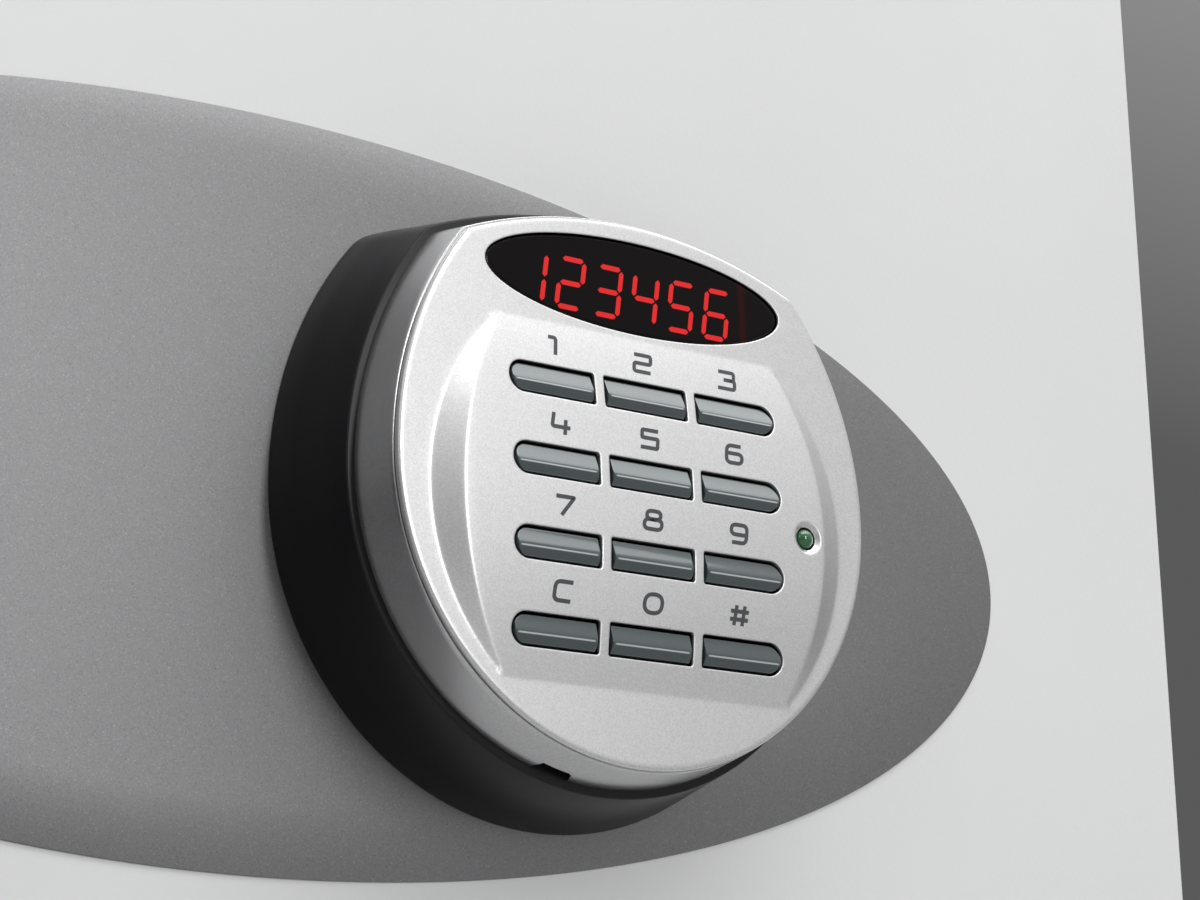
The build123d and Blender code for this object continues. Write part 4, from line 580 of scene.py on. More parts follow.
def bow_width(z, middle):
    """Half width of the field at z: an arc through its width at the middle and the corner at each end."""
    sag = middle - FIELD_CORNER
    radius = (FIELD_HALF**2 + sag**2) / (2 * sag)
    return middle - radius + np.sqrt(np.maximum(radius**2 - (z - FIELD_MIDDLE) ** 2, 0.0))


def field_level(z):
    """Height of the key field over the whole keypad: the rim's arch plus a parabola that ends at its creases."""
    return rim_level(z) + FIELD_RISE * (1 - ((z - FIELD_MIDDLE) / FIELD_HALF) ** 2)


def face_level(x, z):
    """Height of the fascia: the field within its bowed sides, run down to the rim by bevels, all softly joined."""
    rise = field_level(z) - rim_level(z)
    rise = 0.5 * (rise + np.sqrt(rise**2 + 0.03**2))
    inner = bow_width(z, FIELD_TOP_WIDTH)
    gap = np.maximum(bow_width(z, FIELD_FOOT_WIDTH) - inner, 0.02)
    past = np.abs(x) - inner
    soft = np.minimum(CREASE_SOFT, 0.3 * gap)
    fall = 0.5 * (np.sqrt(past**2 + soft**2) - np.sqrt((past - gap) ** 2 + soft**2) + gap) / gap
    return rim_level(z) + rise * (1 - fall)


def hole_distance(x, z, column, row):
    """Distance outwards from a key's hole: a box with small corners, round at its end in the outer columns."""
    u, v = x - KEY_COLUMNS[column], np.abs(z - KEY_ROWS[row])
    side = (-1, 0, 1)[column]
    radius = np.where(u * side > 0, HOLE_HALF[1] - 0.01, HOLE_CORNER)
    across = np.abs(u) - HOLE_HALF[0] + radius
    up = v - HOLE_HALF[1] + radius
    outside = np.hypot(np.maximum(across, 0.0), np.maximum(up, 0.0))
    return outside + np.minimum(np.maximum(across, up), 0.0) - radius


def hole_ring(column, row, grow, step=0.5):
    """Points round a key's hole, grown outwards: four corner arcs, larger at the outer columns' outer end."""
    side = (-1, 0, 1)[column]
    points = []
    for quarter, (sx, sz) in enumerate(((1, 1), (-1, 1), (-1, -1), (1, -1))):
        radius = HOLE_HALF[1] - 0.01 if sx == side else HOLE_CORNER
        count = 10 if sx == side else 5
        turn = (quarter + np.linspace(0.0, 1.0, count)) * math.pi / 2
        centre = (HOLE_HALF - radius) * [sx, sz]
        points.append(centre + (radius + grow) * np.stack([np.cos(turn), np.sin(turn)], -1))
    corners = np.concatenate(points)
    after = np.roll(corners, -1, axis=0)
    runs = []
    for start, end in zip(corners, after):
        count = max(int(np.hypot(*(end - start)) / step), 1)
        runs.append(start + (end - start) * (np.arange(count) / count)[:, None])
    return np.concatenate(runs) + [KEY_COLUMNS[column], KEY_ROWS[row]]


def window_distance(x, z):
    """Rough distance outwards from the window's ellipse: its level function over its slope."""
    u, v = (x - WINDOW_MIDDLE[0]) / WINDOW_REACH[0], (z - WINDOW_MIDDLE[1]) / WINDOW_REACH[1]
    size = np.hypot(u, v)
    slope = np.hypot(u / WINDOW_REACH[0], v / WINDOW_REACH[1]) / np.maximum(size, 1e-6)
    return (size - 1.0) / np.maximum(slope, 1e-6)


def rim_distance(x, z):
    """Distance inwards from the rim's outline, as the least of those from its arcs."""
    low = RIM_R - np.hypot(x - RIM_CENTRE[0], z - RIM_CENTRE[1])
    side = RIM_SIDE_R - np.hypot(np.abs(x) + RIM_SIDE_R - RIM_R, z - RIM_CENTRE[1])
    bow = RIM_BOW_R - np.hypot(x, z - RIM_BOW_TOP + RIM_BOW_R)
    return np.minimum(np.where(z < RIM_CENTRE[1], low, side), bow)


def edge_drop(distance, radius):
    """Depth of a quarter round at a distance from an edge."""
    inside = np.clip(radius - distance, 0.0, radius)
    return radius - np.sqrt(radius**2 - inside**2)


def ellipse_ring(grow, count):
    """Points round the window, grown outwards along the ellipse's normals."""
    turn = np.linspace(0.0, math.tau, count, endpoint=False)
    point = WINDOW_REACH * np.stack([np.cos(turn), np.sin(turn)], -1)
    normal = np.stack([np.cos(turn) / WINDOW_REACH[0], np.sin(turn) / WINDOW_REACH[1]], -1)
    normal /= np.hypot(*normal.T)[:, None]
    return WINDOW_MIDDLE + point + grow * normal


def fascia_level(x, z):
    """Height of the finished face, with its outer edge, holes and lamp cone rounded off."""
    level = face_level(x, z) - edge_drop(rim_distance(x, z), EDGE_R)
    level -= edge_drop(window_distance(x, z), HOLE_EDGE_R)
    for row in range(4):
        for column in range(3):
            level -= edge_drop(hole_distance(x, z, column, row), HOLE_EDGE_R)
    lamp = np.hypot(x - LAMP_PLACE[0], z - LAMP_PLACE[1]) - LAMP_HOLE_R
    return level - np.clip(LAMP_CONE - lamp, 0.0, LAMP_CONE) * 0.8


def fascia_points():
    """Points of the fascia's face in X and Z: rings at each edge, rows along the creases and an even grid."""
    insets = EDGE_R * np.array([0.0, 0.05, 0.15, 0.32, 0.6, 1.0, 2.0])
    outline, out = rim_outline(0.7)
    sets = [outline - out * inset for inset in insets]
    grows = HOLE_EDGE_R * np.array([0.0, 0.12, 0.45, 1.0, 2.6])
    sets += [ellipse_ring(grow, 300) for grow in grows]
    sets += [hole_ring(column, row, grow) for grow in grows for row in range(4) for column in range(3)]
    turn = np.linspace(0.0, math.tau, 40, endpoint=False)
    circle = np.stack([np.cos(turn), np.sin(turn)], -1)
    sets += [LAMP_PLACE + (LAMP_HOLE_R + grow) * circle for grow in (0.0, 0.375, 0.72, 0.78, 1.2)]
    fixed = len(np.concatenate(sets))
    z = np.arange(FIELD_MIDDLE - FIELD_HALF + 1.2, FIELD_MIDDLE + FIELD_HALF - 1.0, 0.7)
    rows = []
    for middle in (FIELD_TOP_WIDTH, FIELD_FOOT_WIDTH):
        for step in (-0.5, -0.22, 0.0, 0.22, 0.5):
            x = bow_width(z, middle) + step
            rows += [np.stack([x, z], -1), np.stack([-x, z], -1)]
    x = np.arange(-FIELD_CORNER, FIELD_CORNER, 0.8)
    for end in (-1, 1):
        for step in (-0.45, -0.15, 0.15, 0.45):
            rows.append(np.stack([x, 0 * x + FIELD_MIDDLE + end * (FIELD_HALF + step)], -1))
    rows = np.concatenate(rows)
    u, v = np.meshgrid(np.arange(-48.0, 48.0, 0.85), np.arange(-42.0, 52.0, 0.85))
    grid = np.stack([u.ravel(), v.ravel()], -1)
    crease = np.minimum(*(np.abs(np.abs(grid[:, 0]) - bow_width(grid[:, 1], middle))
                          for middle in (FIELD_TOP_WIDTH, FIELD_FOOT_WIDTH)))
    crease = np.where(np.abs(grid[:, 1] - FIELD_MIDDLE) < FIELD_HALF, crease, 9.0)
    end_crease = np.abs(np.abs(grid[:, 1] - FIELD_MIDDLE) - FIELD_HALF)
    grid = grid[(crease > 0.8) & ((end_crease > 0.8) | (np.abs(grid[:, 0]) > FIELD_CORNER))]
    loose = np.concatenate([rows, grid])
    return np.concatenate([np.concatenate(sets), loose[clear_of_edges(*loose.T) > 0.35]]), fixed


def clear_of_edges(x, z):
    """Distance beyond the rings that are laid round the outline, the holes, the window and the lamp."""
    clear = np.minimum(rim_distance(x, z) - 2 * EDGE_R, window_distance(x, z) - 2.6 * HOLE_EDGE_R)
    clear = np.minimum(clear, np.hypot(x - LAMP_PLACE[0], z - LAMP_PLACE[1]) - LAMP_HOLE_R - 1.2)
    for row in range(4):
        for column in range(3):
            clear = np.minimum(clear, hole_distance(x, z, column, row) - 2.6 * HOLE_EDGE_R)
    return clear


def plate_through(points):
    """Triangles over the points, without those that lie in a hole or outside the rim."""
    made = delaunay_2d_cdt([Vector(point) for point in points.tolist()], [], [], 0, 1e-4)
    flat = np.array([tuple(point) for point in made[0]])
    triangles = np.array(made[2])
    x, z = flat[triangles].mean(axis=1).T
    keep = (rim_distance(x, z) > 0.0) & (window_distance(x, z) > 0.0)
    keep &= np.hypot(x - LAMP_PLACE[0], z - LAMP_PLACE[1]) > LAMP_HOLE_R - 0.02
    for row in range(4):
        for column in range(3):
            keep &= hole_distance(x, z, column, row) > 0.0
    return flat, triangles[keep]


def thickened(flat, triangles, top, bottom):
    """Points and faces of a plate: its triangles at two heights, joined by walls along its open edges."""
    count = len(flat)
    sides = np.concatenate([triangles[:, [0, 1]], triangles[:, [1, 2]], triangles[:, [2, 0]]])
    keys = np.sort(sides, axis=1)
    found, index, times = np.unique(keys, axis=0, return_index=True, return_counts=True)
    edges = sides[index[times == 1]]
    walls = np.stack([edges[:, 0], edges[:, 0] + count, edges[:, 1] + count, edges[:, 1]], -1)
    points = np.concatenate([at_keypad(flat[:, 0], top, flat[:, 1]), at_keypad(flat[:, 0], bottom, flat[:, 1])])
    return points, triangles.tolist() + (triangles[:, ::-1] + count).tolist() + walls.tolist()


def make_flake_group():
    """Flakes of a metallic paint: small cells, each with its own brightness and its own slight tilt."""
    tree, given, result = new_group(
        "metal_flakes", {"Flake Scale": 5200.0, "Tilt": 0.05}, {"Glint": "NodeSocketFloat", "Normal": "NodeSocketVector"})
    place = add_node(tree, "ShaderNodeTexCoord")
    cells = add_node(tree, "ShaderNodeTexVoronoi")
    centred = add_node(tree, "ShaderNodeVectorMath", operation="SUBTRACT")
    centred.inputs[1].default_value = (0.5, 0.5, 0.5)
    scaled = add_node(tree, "ShaderNodeVectorMath", operation="SCALE")
    added = add_node(tree, "ShaderNodeVectorMath", operation="ADD")
    level = add_node(tree, "ShaderNodeVectorMath", operation="NORMALIZE")
    surface = add_node(tree, "ShaderNodeNewGeometry")
    split = add_node(tree, "ShaderNodeSeparateColor")
    wire(tree, place.outputs["Object"], cells.inputs["Vector"])
    wire(tree, given.outputs["Flake Scale"], cells.inputs["Scale"])
    wire(tree, cells.outputs["Color"], centred.inputs[0])
    wire(tree, centred.outputs[0], scaled.inputs[0])
    wire(tree, given.outputs["Tilt"], scaled.inputs["Scale"])
    wire(tree, scaled.outputs[0], added.inputs[0])
    wire(tree, surface.outputs["Normal"], added.inputs[1])
    wire(tree, added.outputs[0], level.inputs[0])
    wire(tree, level.outputs[0], result.inputs["Normal"])
    wire(tree, cells.outputs["Color"], split.inputs["Color"])
    wire(tree, split.outputs["Green"], result.inputs["Glint"])
    return tree


flake_group = make_flake_group()


def flaked(name, low, high, roughness, metallic, clear, **flake):
    """A metallic paint: flakes between two tones, tilted, under a thin clear coat."""
    material, tree, shader = new_material(name)
    flakes = place_group(tree, flake_group, **flake)
    tinted(tree, flakes.outputs["Glint"], low, high, shader.inputs["Base Color"])
    wire(tree, flakes.outputs["Normal"], shader.inputs["Normal"])
    shader.inputs["Roughness"].default_value = roughness
    shader.inputs["Metallic"].default_value = metallic
    shader.inputs["Coat Weight"].default_value = clear
    shader.inputs["Coat Roughness"].default_value = 0.12
    return material


def mark_hole_shade(mesh):
    """An attribute that is 0 on the face and 1 at the foot of the holes' walls, where shade is painted in as near
    black.
    """
    place = np.empty(3 * len(mesh.vertices))
    mesh.vertices.foreach_get("co", place)
    x, y, z = ((place.reshape(-1, 3) - KEYPAD) / MM).T
    low = (-y < rim_level(z) - 0.5 * FASCIA_THICK) & (rim_distance(x, z) > 2 * EDGE_R)
    mesh.attributes.new("hole_shade", "FLOAT", "POINT").data.foreach_set("value", low.astype(float))


fascia_silver = flaked("fascia_silver", (0.70, 0.70, 0.70), (0.79, 0.79, 0.79), 0.36, 0.9, 0.6, Tilt=0.025)
flat_points, fixed_count = fascia_points()
flat, triangles = plate_through(flat_points)
top = fascia_level(*flat.T)
bottom = rim_level(flat[:, 1]) - FASCIA_THICK + 0 * top
points, faces = thickened(flat, triangles, top, bottom)
fascia = add_piece("fascia_moulded", points, faces, fascia_silver, "keypad_front", ["fascia"], 48.0)
mark_hole_shade(fascia.data)
# Painted shade: the holes' walls and the back darken to near black towards their foot, where the key gaps lie in
# shade.
tree = fascia_silver.node_tree
paint = tree.nodes["Principled BSDF"].inputs["Base Color"]
hole_shade = add_node(tree, "ShaderNodeAttribute", attribute_name="hole_shade")
inward = add_node(tree, "ShaderNodeMapRange", interpolation_type="SMOOTHSTEP", From_Min=0.05, From_Max=0.35)
wire(tree, hole_shade.outputs["Fac"], inward.inputs["Value"])
mixed(tree, inward.outputs["Result"], paint.links[0].from_socket, (0.010, 0.010, 0.010), paint)

# Front shell. The silver-grey wall of the keypad's front, flared towards the door, with a fine seam
# under the fascia and a small notch in its lower edge for prising the front off its base.
SEAM = 0.22
SHELL_BACK_LEVEL = -12.54
SHELL_WALL = 2.0
SHELL_EDGE_R = 0.13
NOTCH_MIDDLE = -12.0
NOTCH_HALF = 3.0
NOTCH_RISE = 2.6


def shell_rings():
    """Rings of the wall's section carried round the outline: out over the top, down the flare, in and up."""
    outline, out = rim_outline(0.7)
    x = outline[:, 0]
    start = rim_level(outline[:, 1]) - FASCIA_THICK - SEAM
    notched = np.clip((NOTCH_HALF + 0.15 - np.abs(x - NOTCH_MIDDLE)) / 0.3, 0.0, 1.0) * (outline[:, 1] < 0)
    back = SHELL_BACK_LEVEL + NOTCH_RISE * notched
    bend = np.linspace(0.0, math.pi / 2, 4)
    shares = np.linspace(0.0, 1.0, 9)
    rings = [(start, -SHELL_WALL), (start, -1.0)]
    rings += [(start - SHELL_EDGE_R * (1 - math.sin(b)), -SHELL_EDGE_R * (1 - math.cos(b))) for b in bend[::-1]]
    rings += [(start + (back - start) * share, 0.0) for share in shares[1:]]
    rings += [(back, -0.8), (back, -SHELL_WALL)]
    levels = np.array([level for level, inset in rings])
    insets = np.array([inset for level, inset in rings])
    grow = (RIM_EDGE_LEVEL - levels) * RIM_FLARE + insets[:, None]
    place = outline + out * grow[..., None]
    return at_keypad(place[..., 0], levels, place[..., 1])


shell_silver = flaked("shell_silver_grey", (0.52, 0.52, 0.525), (0.62, 0.62, 0.625), 0.27, 0.95, 0.1, Tilt=0.03)
points, faces = loft(shell_rings(), wrapped=True)
add_piece("front_shell_moulded", points, faces, shell_silver, "keypad_front", ["front_shell"], 40.0)

# Window. A smoked gloss lens, pressed into the fascia a little below its face, with a fine bevel. Beside
# the last figure a faint red line shows, where light leaks round the edge of the display behind; it is painted into
# the lens as a faint red glow.
LENS_DROP = 0.38
LENS_GAP = 0.1
LEAK_X = 22.4
LEAK_HALF = 1.2
LEAK_LIGHT = 0.02


def lens_rings():
    """Ellipses of the lens from its back, over its bevel, then ever smaller across its face, arched like the rim."""
    insets = np.array([0.3, 0.0, 0.0, 0.06, 0.3] + 6 * [0.36])
    shares = np.array(6 * [1.0] + [0.96, 0.8, 0.55, 0.3, 0.1])
    drops = np.array([1.4, 1.2, 0.30, 0.22, 0.02] + 6 * [0.0]) + LENS_DROP
    rings = []
    for inset, share, drop in zip(insets, shares, drops):
        ring = WINDOW_MIDDLE + share * (ellipse_ring(-LENS_GAP - inset, 220) - WINDOW_MIDDLE)
        rings.append(at_keypad(ring[:, 0], rim_level(ring[:, 1]) - drop, ring[:, 1]))
    return np.array(rings)


smoked_lens, tree, shader = new_material("smoked_lens")
shade = place_group(tree, coat_group, Wave_Depth=0.000001, Grain_Depth=0.0)
tinted(tree, shade.outputs["Tone"], (0.0032, 0.0020, 0.0022), (0.0045, 0.0026, 0.0028), shader.inputs["Base Color"])
shader.inputs["Roughness"].default_value = 0.05
shader.inputs["Specular IOR Level"].default_value = 0.12
place = add_node(tree, "ShaderNodeTexCoord")
axes = add_node(tree, "ShaderNodeSeparateXYZ")
wire(tree, place.outputs["Object"], axes.inputs["Vector"])
aside = add_node(tree, "ShaderNodeMath", operation="SUBTRACT")
wire(tree, axes.outputs["X"], aside.inputs[0])
aside.inputs[1].default_value = KEYPAD[0] + LEAK_X * MM
away = add_node(tree, "ShaderNodeMath", operation="ABSOLUTE")
wire(tree, aside.outputs["Value"], away.inputs[0])
leak = add_node(tree, "ShaderNodeMapRange", interpolation_type="SMOOTHSTEP", From_Min=LEAK_HALF * MM, From_Max=0.0)
wire(tree, away.outputs["Value"], leak.inputs["Value"])
mixed(tree, leak.outputs["Result"], (0.0, 0.0, 0.0), (1.0, 0.0, 0.01), shader.inputs["Emission Color"])
shader.inputs["Emission Strength"].default_value = LEAK_LIGHT
points, faces = loft(lens_rings())
add_piece("display_lens", points, faces, smoked_lens, "keypad_front", ["display_window"], 25.0)

# Display figures. Six lit seven-segment figures, which show through the lens.
FIGURE_HIGH = 8.5
FIGURE_WIDE = 4.6
FIGURE_PITCH = 7.5
FIGURE_SLANT = 0.16
FIGURE_FOOT = 34.35
FIGURE_START = -23.75
SEGMENT_HALF = 0.45
SEGMENT_GAP = 0.24
LIT = {"1": "bc", "2": "abged", "3": "abgcd", "4": "fgbc", "5": "afgcd", "6": "afgecd"}
ENDS = {"a": ((0, 2), (1, 2)), "b": ((1, 2), (1, 1)), "c": ((1, 1), (1, 0)), "d": ((0, 0), (1, 0)),
        "e": ((0, 1), (0, 0)), "f": ((0, 2), (0, 1)), "g": ((0, 1), (1, 1))}


def figure_points():
    """Hexagons of the lit segments: each end is cut to a point at 45 degrees, and the whole leans to the right."""
    outlines = []
    for place, figure in enumerate(LIT):
        for segment in LIT[figure]:
            start, end = (np.array(corner) * [FIGURE_WIDE, FIGURE_HIGH / 2] for corner in ENDS[segment])
            along = (end - start) / np.hypot(*(end - start))
            across = np.array([-along[1], along[0]]) * SEGMENT_HALF
            start, end = start + along * SEGMENT_GAP, end - along * SEGMENT_GAP
            inner = along * SEGMENT_HALF
            shape = [start, start + inner + across, end - inner + across, end, end - inner - across,
                     start + inner - across]
            outlines.append(np.array(shape) + [FIGURE_START + FIGURE_PITCH * place, 0.0])
    shape = np.array(outlines)
    x = shape[..., 0] + FIGURE_SLANT * shape[..., 1]
    z = shape[..., 1] + FIGURE_FOOT
    return x, z


def raised_shapes(x, z, level, thick):
    """Points and faces of flat shapes, N by K, laid on a surface as thin closed tiles."""
    count, sides = x.shape
    top = at_keypad(x, level(x, z) + thick, z).reshape(-1, 3)
    foot = at_keypad(x, level(x, z) - thick, z).reshape(-1, 3)
    index = np.arange(count * sides).reshape(count, sides)
    low = index + count * sides
    near, far = index, np.roll(index, -1, axis=1)
    walls = np.stack([near, far, far + count * sides, near + count * sides], -1).reshape(-1, 4)
    return np.concatenate([top, foot]), index.tolist() + low[:, ::-1].tolist() + walls.tolist()


lit_red, tree, shader = new_material("lit_red")
glow = place_group(tree, coat_group, Wave_Scale=2200.0)
tinted(tree, glow.outputs["Tone"], (0.62, 0.003, 0.004), (0.72, 0.004, 0.005), shader.inputs["Emission Color"])
shader.inputs["Base Color"].default_value = (0.02, 0.0, 0.0, 1.0)
shader.inputs["Emission Strength"].default_value = 1.0
shader.inputs["Roughness"].default_value = 0.2
points, faces = raised_shapes(*figure_points(), lambda x, z: rim_level(z) - LENS_DROP, 0.02)
add_piece("display_figures", points, faces, lit_red, "keypad_front")

# Status lamp, a green tinted dome in its cone.
DOME_R = 1.75
DOME_BASE = 1.5


def dome_rings():
    """A short barrel that ends in half a sphere: rings at steps of height, drawn in by the sphere's round."""
    rise = np.linspace(0.0, math.pi / 2, 12)[:-1]
    radius = np.concatenate([[DOME_R], DOME_R * np.cos(rise)])
    level = np.concatenate([[-2.5], DOME_R * 0.75 * np.sin(rise)]) - 1.15
    turn = np.linspace(0.0, math.tau, 36, endpoint=False)
    x = LAMP_PLACE[0] + radius[:, None] * np.cos(turn)
    z = LAMP_PLACE[1] + radius[:, None] * np.sin(turn)
    return at_keypad(x, face_level(*LAMP_PLACE) + level[:, None], z)


lamp_tint, tree, shader = new_material("green_lamp")
glow = place_group(tree, coat_group, Wave_Scale=1200.0, Wave_Depth=0.00002)
tinted(tree, glow.outputs["Tone"], (0.012, 0.085, 0.030), (0.022, 0.14, 0.050), shader.inputs["Base Color"])
shader.inputs["Roughness"].default_value = 0.12
shader.inputs["Coat Weight"].default_value = 1.0
points, faces = loft(dome_rings())
add_piece("status_lamp", points, faces, lamp_tint, "keypad_front", ["status_led"], 50.0)

# Keys. Gloss grey bars, one moulding each: a long convex face runs down to a crisp ridge, below
# which a short face falls back, with a pale highlight painted along the ridge. Their outer ends are round in the
# outer columns.
KEY_GAP = 0.46
KEY_HALF = HOLE_HALF - KEY_GAP
RIDGE_Z = -0.72
RIDGE_RISE = 0.75
BROW_RISE = -0.5
CHIN_RISE = -0.28
FACE_BOW = -0.11
END_SLOPE = 6.0
KEY_DEEP = 1.9
GLINT_HALF = 0.17


def key_rise(z):
    """Height of a key's section: a bowed face from brow to ridge, then straight to the chin, softly joined."""
    face = (KEY_HALF[1] - z) / (KEY_HALF[1] - RIDGE_Z)
    long_face = BROW_RISE + (RIDGE_RISE - BROW_RISE) * face + 4 * FACE_BOW * face * (1 - face)
    short = (z + KEY_HALF[1]) / (RIDGE_Z + KEY_HALF[1])
    short_face = CHIN_RISE + (RIDGE_RISE - CHIN_RISE) * short
    return 0.5 * (long_face + short_face - np.sqrt((long_face - short_face) ** 2 + 0.75**2))


def key_grid(column, row):
    """A key's face as rows by columns of points: across its outline at each height, with its ends sloped in."""
    side = (-1, 0, 1)[column]
    rows = np.concatenate([
        -KEY_HALF[1] + 0.35 * np.linspace(0, 1, 4) ** 1.5, np.linspace(-1.55, RIDGE_Z - 0.6, 2),
        RIDGE_Z + np.linspace(-0.5, 0.5, 17), np.linspace(RIDGE_Z + 0.6, 1.5, 7),
        KEY_HALF[1] - 0.35 * np.linspace(1, 0, 4) ** 1.5])
    share = np.concatenate([0.06 * np.linspace(0, 1, 9) ** 1.4, np.linspace(0.06, 0.94, 26)[1:-1],
                            1 - 0.06 * np.linspace(1, 0, 9) ** 1.4])
    ends = []
    for sign in (-1, 1):
        radius = KEY_HALF[1] - 0.02 if sign == side else 0.35
        over = np.maximum(np.abs(rows) - KEY_HALF[1] + radius, 0.0)
        ends.append(sign * (KEY_HALF[0] - radius + np.sqrt(np.maximum(radius**2 - over**2, 0.0))))
    left, right = ends
    x = left[:, None] + (right - left)[:, None] * share
    z = rows[:, None] + 0 * x
    inside = -hole_distance(x + KEY_COLUMNS[column], z + KEY_ROWS[row], column, row) - KEY_GAP
    to_end = np.where(np.abs(x) > KEY_HALF[0] - 2.6, inside, 9.0)
    limit = END_SLOPE * np.maximum(np.where(np.abs(x) > KEY_HALF[0] - 2.6,
                                                              np.minimum(to_end, KEY_HALF[0] - np.abs(x) + 0 * x), 9.0), 0.0)
    rise = key_rise(z)
    rise = 0.5 * (rise + limit - np.sqrt((rise - limit) ** 2 + 0.1**2))
    rise -= edge_drop(np.maximum(inside, 0.0), 0.12)
    x, z = x + KEY_COLUMNS[column], z + KEY_ROWS[row]
    return x, z, field_level(z) + rise


def walled(x, z, level, foot):
    """Points and faces of a grid's face with walls down to a flat foot."""
    rows, columns = x.shape
    index = np.arange(rows * columns).reshape(rows, columns)
    quads = np.stack([index[:-1, :-1], index[:-1, 1:], index[1:, 1:], index[1:, :-1]], -1).reshape(-1, 4)
    edge = np.concatenate([index[0], index[1:, -1], index[-1, -2::-1], index[-2:0:-1, 0]])
    low = rows * columns + np.arange(len(edge))
    walls = np.stack([edge, low, np.roll(low, -1), np.roll(edge, -1)], -1)
    points = at_keypad(x, level, z).reshape(-1, 3)
    foot_points = at_keypad(x.ravel()[edge], foot, z.ravel()[edge])
    return np.concatenate([points, foot_points]), quads.tolist() + walls.tolist() + [low.tolist()]


def mark_ridge_highlight(mesh, x, z):
    """A painted highlight's mask: an attribute that is 1 on the ridge's line and falls to 0 beside it and towards
    the key's ends.
    """
    place = np.empty(3 * len(mesh.vertices))
    mesh.vertices.foreach_get("co", place)
    along = np.abs((place[0::3] - KEYPAD[0]) / MM - x)
    away = np.abs((place[2::3] - KEYPAD[2]) / MM - z)
    inside = np.clip((KEY_HALF[0] - along) / 0.4 - 1.0, 0.0, 1.0)
    ridge_glint = mesh.attributes.new("ridge", "FLOAT", "POINT")
    ridge_glint.data.foreach_set("value", inside * np.clip(1.6 - 1.6 * away / GLINT_HALF, 0.0, 1.0))


key_gloss, tree, shader = new_material("key_gloss_grey")
skin = place_group(tree, coat_group, Wave_Scale=700.0, Wave_Depth=0.000004, Grain_Depth=0.000001)
ridge = add_node(tree, "ShaderNodeAttribute", attribute_name="ridge")
body_grey = mixed(tree, skin.outputs["Tone"], (0.055, 0.074, 0.078), (0.066, 0.087, 0.091))
# Painted highlight: a pale line along each key's ridge, in place of the light its crease catches.
mixed(tree, ridge.outputs["Fac"], body_grey, (0.60, 0.64, 0.65), shader.inputs["Base Color"])
wire(tree, skin.outputs["Normal"], shader.inputs["Normal"])
shader.inputs["Roughness"].default_value = 0.26
shader.inputs["Metallic"].default_value = 0.3
shader.inputs["Coat Weight"].default_value = 1.0
shader.inputs["Coat Roughness"].default_value = 0.06
KEY_NAMES = (("1", "2", "3"), ("4", "5", "6"), ("7", "8", "9"), ("c", "0", "hash"))
for row, names in enumerate(KEY_NAMES):
    for column, key in enumerate(names):
        x, z, level = key_grid(column, row)
        points, faces = walled(x, z, level, level.min() - KEY_DEEP)
        piece = add_piece(f"key_{key}_bar", points, faces, key_gloss, f"key_{key}", [f"key_{key}"], 40.0)
        mark_ridge_highlight(piece.data, KEY_COLUMNS[column], KEY_ROWS[row] + RIDGE_Z)

# Legends. Figures and signs printed in dark grey above the keys, as thin strokes with round corners.
LEGEND_COLUMNS = np.array([-17.5, 0.0, 17.5])
LEGEND_ROWS = np.array([26.75, 13.45, -0.3, -14.0])
LEGEND_WIDE = 3.7
LEGEND_HIGH = 3.05
LEGEND_STROKE = 0.69
LEGEND_SLANT = 0.13
LEGEND_BEND = 1.0
SHARPER_BENDS = {"1": 0.5, "2": 0.45, "3": 0.45, "4": 0.5, "5": 0.3, "7": 0.15, "0": 1.7}
STROKES = {
    "1": [[(0.15, 1.0), (0.55, 1.0), (0.55, 0.0)]],
    "2": [[(0.05, 1.0), (0.95, 1.0), (0.95, 0.5), (0.05, 0.5), (0.05, 0.0), (0.95, 0.0)]],
    "3": [[(0.05, 1.0), (0.92, 1.0), (0.92, 0.52), (0.35, 0.52)], [(0.6, 0.52), (0.97, 0.52), (0.97, 0.0), (0.02, 0.0)]],
    "4": [[(0.10, 1.05), (0.05, 0.28), (1.0, 0.28)], [(0.74, 0.72), (0.74, -0.12)]],
    "5": [[(0.94, 1.0), (0.08, 1.0), (0.08, 0.55), (0.95, 0.55), (0.95, 0.0), (0.04, 0.0)]],
    "6": [[(0.85, 1.0), (0.06, 1.0), (0.06, 0.0), (0.94, 0.0), (0.94, 0.55), (0.08, 0.55)]],
    "7": [[(0.05, 1.0), (0.98, 1.0), (0.42, 0.0)]],
    "8": [[(0.5, 0.54), (0.13, 0.54), (0.13, 1.0), (0.87, 1.0), (0.87, 0.54), (0.5, 0.54)],
          [(0.5, 0.54), (0.03, 0.54), (0.03, 0.0), (0.97, 0.0), (0.97, 0.54), (0.5, 0.54)]],
    "9": [[(0.15, 0.0), (0.94, 0.0), (0.94, 1.0), (0.06, 1.0), (0.06, 0.45), (0.92, 0.45)]],
    "c": [[(0.95, 1.0), (0.06, 1.0), (0.06, 0.0), (0.92, 0.0)]],
    "0": [[(0.5, 1.0), (0.03, 1.0), (0.03, 0.0), (0.97, 0.0), (0.97, 1.0), (0.5, 1.0)]],
    "hash": [[(0.3, 1.05), (0.25, -0.05)], [(0.75, 1.05), (0.7, -0.05)], [(0.0, 0.72), (1.0, 0.72)],
             [(0.0, 0.28), (1.0, 0.28)]],
}


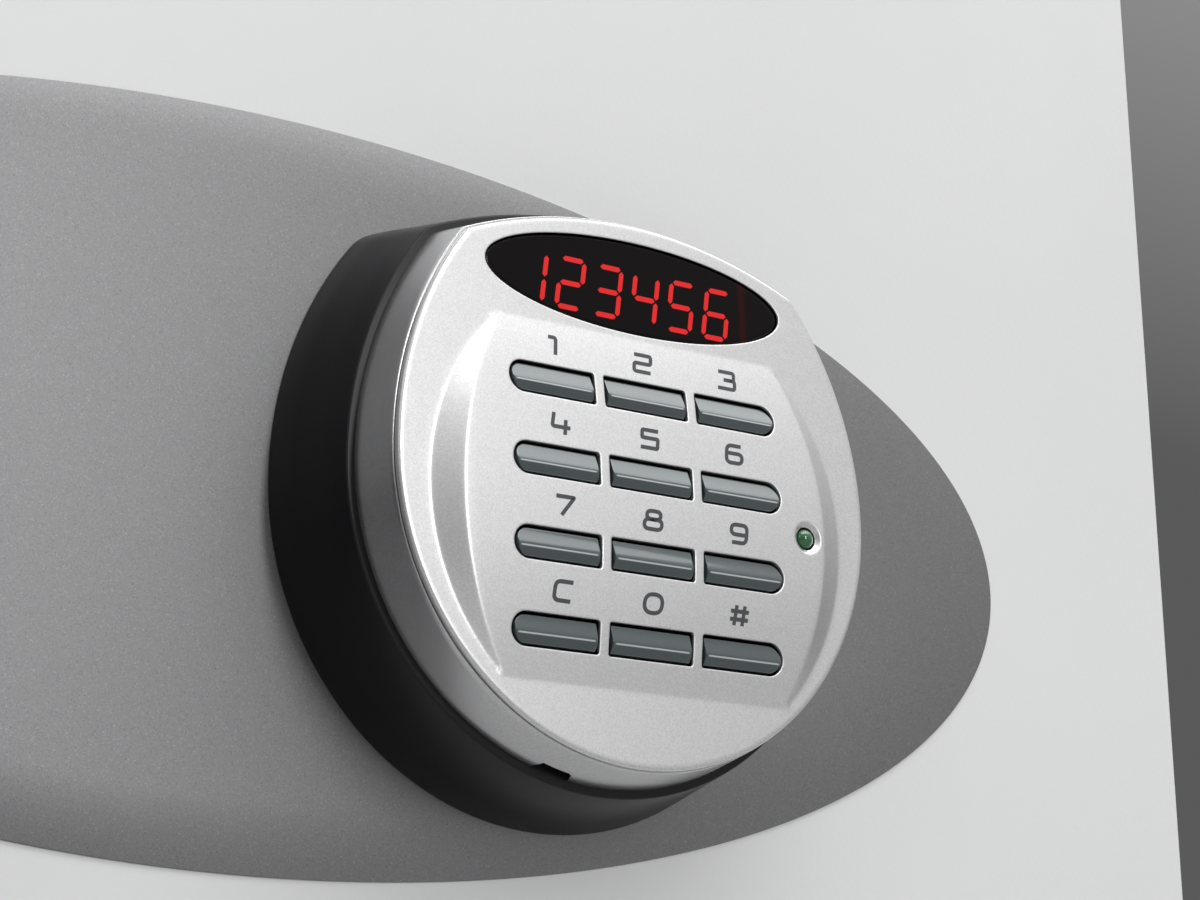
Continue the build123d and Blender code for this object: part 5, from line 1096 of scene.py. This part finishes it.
def rounded_line(corners, bend):
    """A line in millimetres whose corners turn by quadratic curves that start a set distance before each."""
    line = np.array(corners) * [LEGEND_WIDE, LEGEND_HIGH]
    share = np.linspace(0.0, 1.0, 8)[:, None]
    parts = [line[:1]]
    for place in range(1, len(line) - 1):
        corner = line[place]
        back, on = line[place - 1] - corner, line[place + 1] - corner
        back *= min(bend / np.hypot(*back), 0.98 if place == 1 else 0.48)
        on *= min(bend / np.hypot(*on), 0.98 if place == len(line) - 2 else 0.48)
        parts.append(corner + (1 - share) ** 2 * back + share**2 * on)
    return np.concatenate(parts + [line[-1:]])


def stroke_outline(corners, bend):
    """Outline of one printed stroke: its rounded line, offset half the stroke to each side."""
    line = rounded_line(corners, bend)
    way = np.gradient(line, axis=0)
    way /= np.hypot(*way.T)[:, None]
    across = np.stack([-way[:, 1], way[:, 0]], -1) * LEGEND_STROKE / 2
    return line + across, line - across


def printed_legend(key, column, row):
    """Points and faces of one legend: each stroke is a ribbon of quads, leaned over and laid on the key field."""
    points, faces = [], []
    for corners in STROKES[key]:
        left, right = stroke_outline(corners, SHARPER_BENDS.get(key, LEGEND_BEND))
        ribbon = np.stack([left, right], 1).reshape(-1, 2)
        x = ribbon[:, 0] - LEGEND_WIDE / 2 + LEGEND_SLANT * (ribbon[:, 1] - LEGEND_HIGH / 2) + LEGEND_COLUMNS[column]
        z = ribbon[:, 1] - LEGEND_HIGH / 2 + LEGEND_ROWS[row]
        start, count = sum(map(len, points)), len(ribbon)
        level = face_level(x, z)
        points += [at_keypad(x, level + 0.03, z), at_keypad(x, level - 0.03, z)]
        pair = start + np.arange(0, count - 2, 2)
        top = np.stack([pair, pair + 2, pair + 3, pair + 1], -1)
        sides = np.concatenate([np.stack([pair, pair + count, pair + count + 2, pair + 2], -1),
                                np.stack([pair + 1, pair + 3, pair + count + 3, pair + count + 1], -1)])
        ends = [[start, start + 1, start + count + 1, start + count],
                [start + count - 2, start + 2 * count - 2, start + 2 * count - 1, start + count - 1]]
        faces += top.tolist() + (top[:, ::-1] + count).tolist() + sides.tolist() + ends
    return np.concatenate(points), faces


legend_ink = coated("legend_ink", (0.050, 0.053, 0.060), (0.060, 0.063, 0.070), 0.55, Wave_Depth=0.000002)
legend_points, legend_faces = [], []
for row, names in enumerate(KEY_NAMES):
    for column, key in enumerate(names):
        points, faces = printed_legend(key, column, row)
        start = sum(map(len, legend_points))
        legend_points.append(points)
        legend_faces += [[start + corner for corner in face] for face in faces]
add_piece("key_legends", np.concatenate(legend_points), legend_faces, legend_ink, "keypad_front")
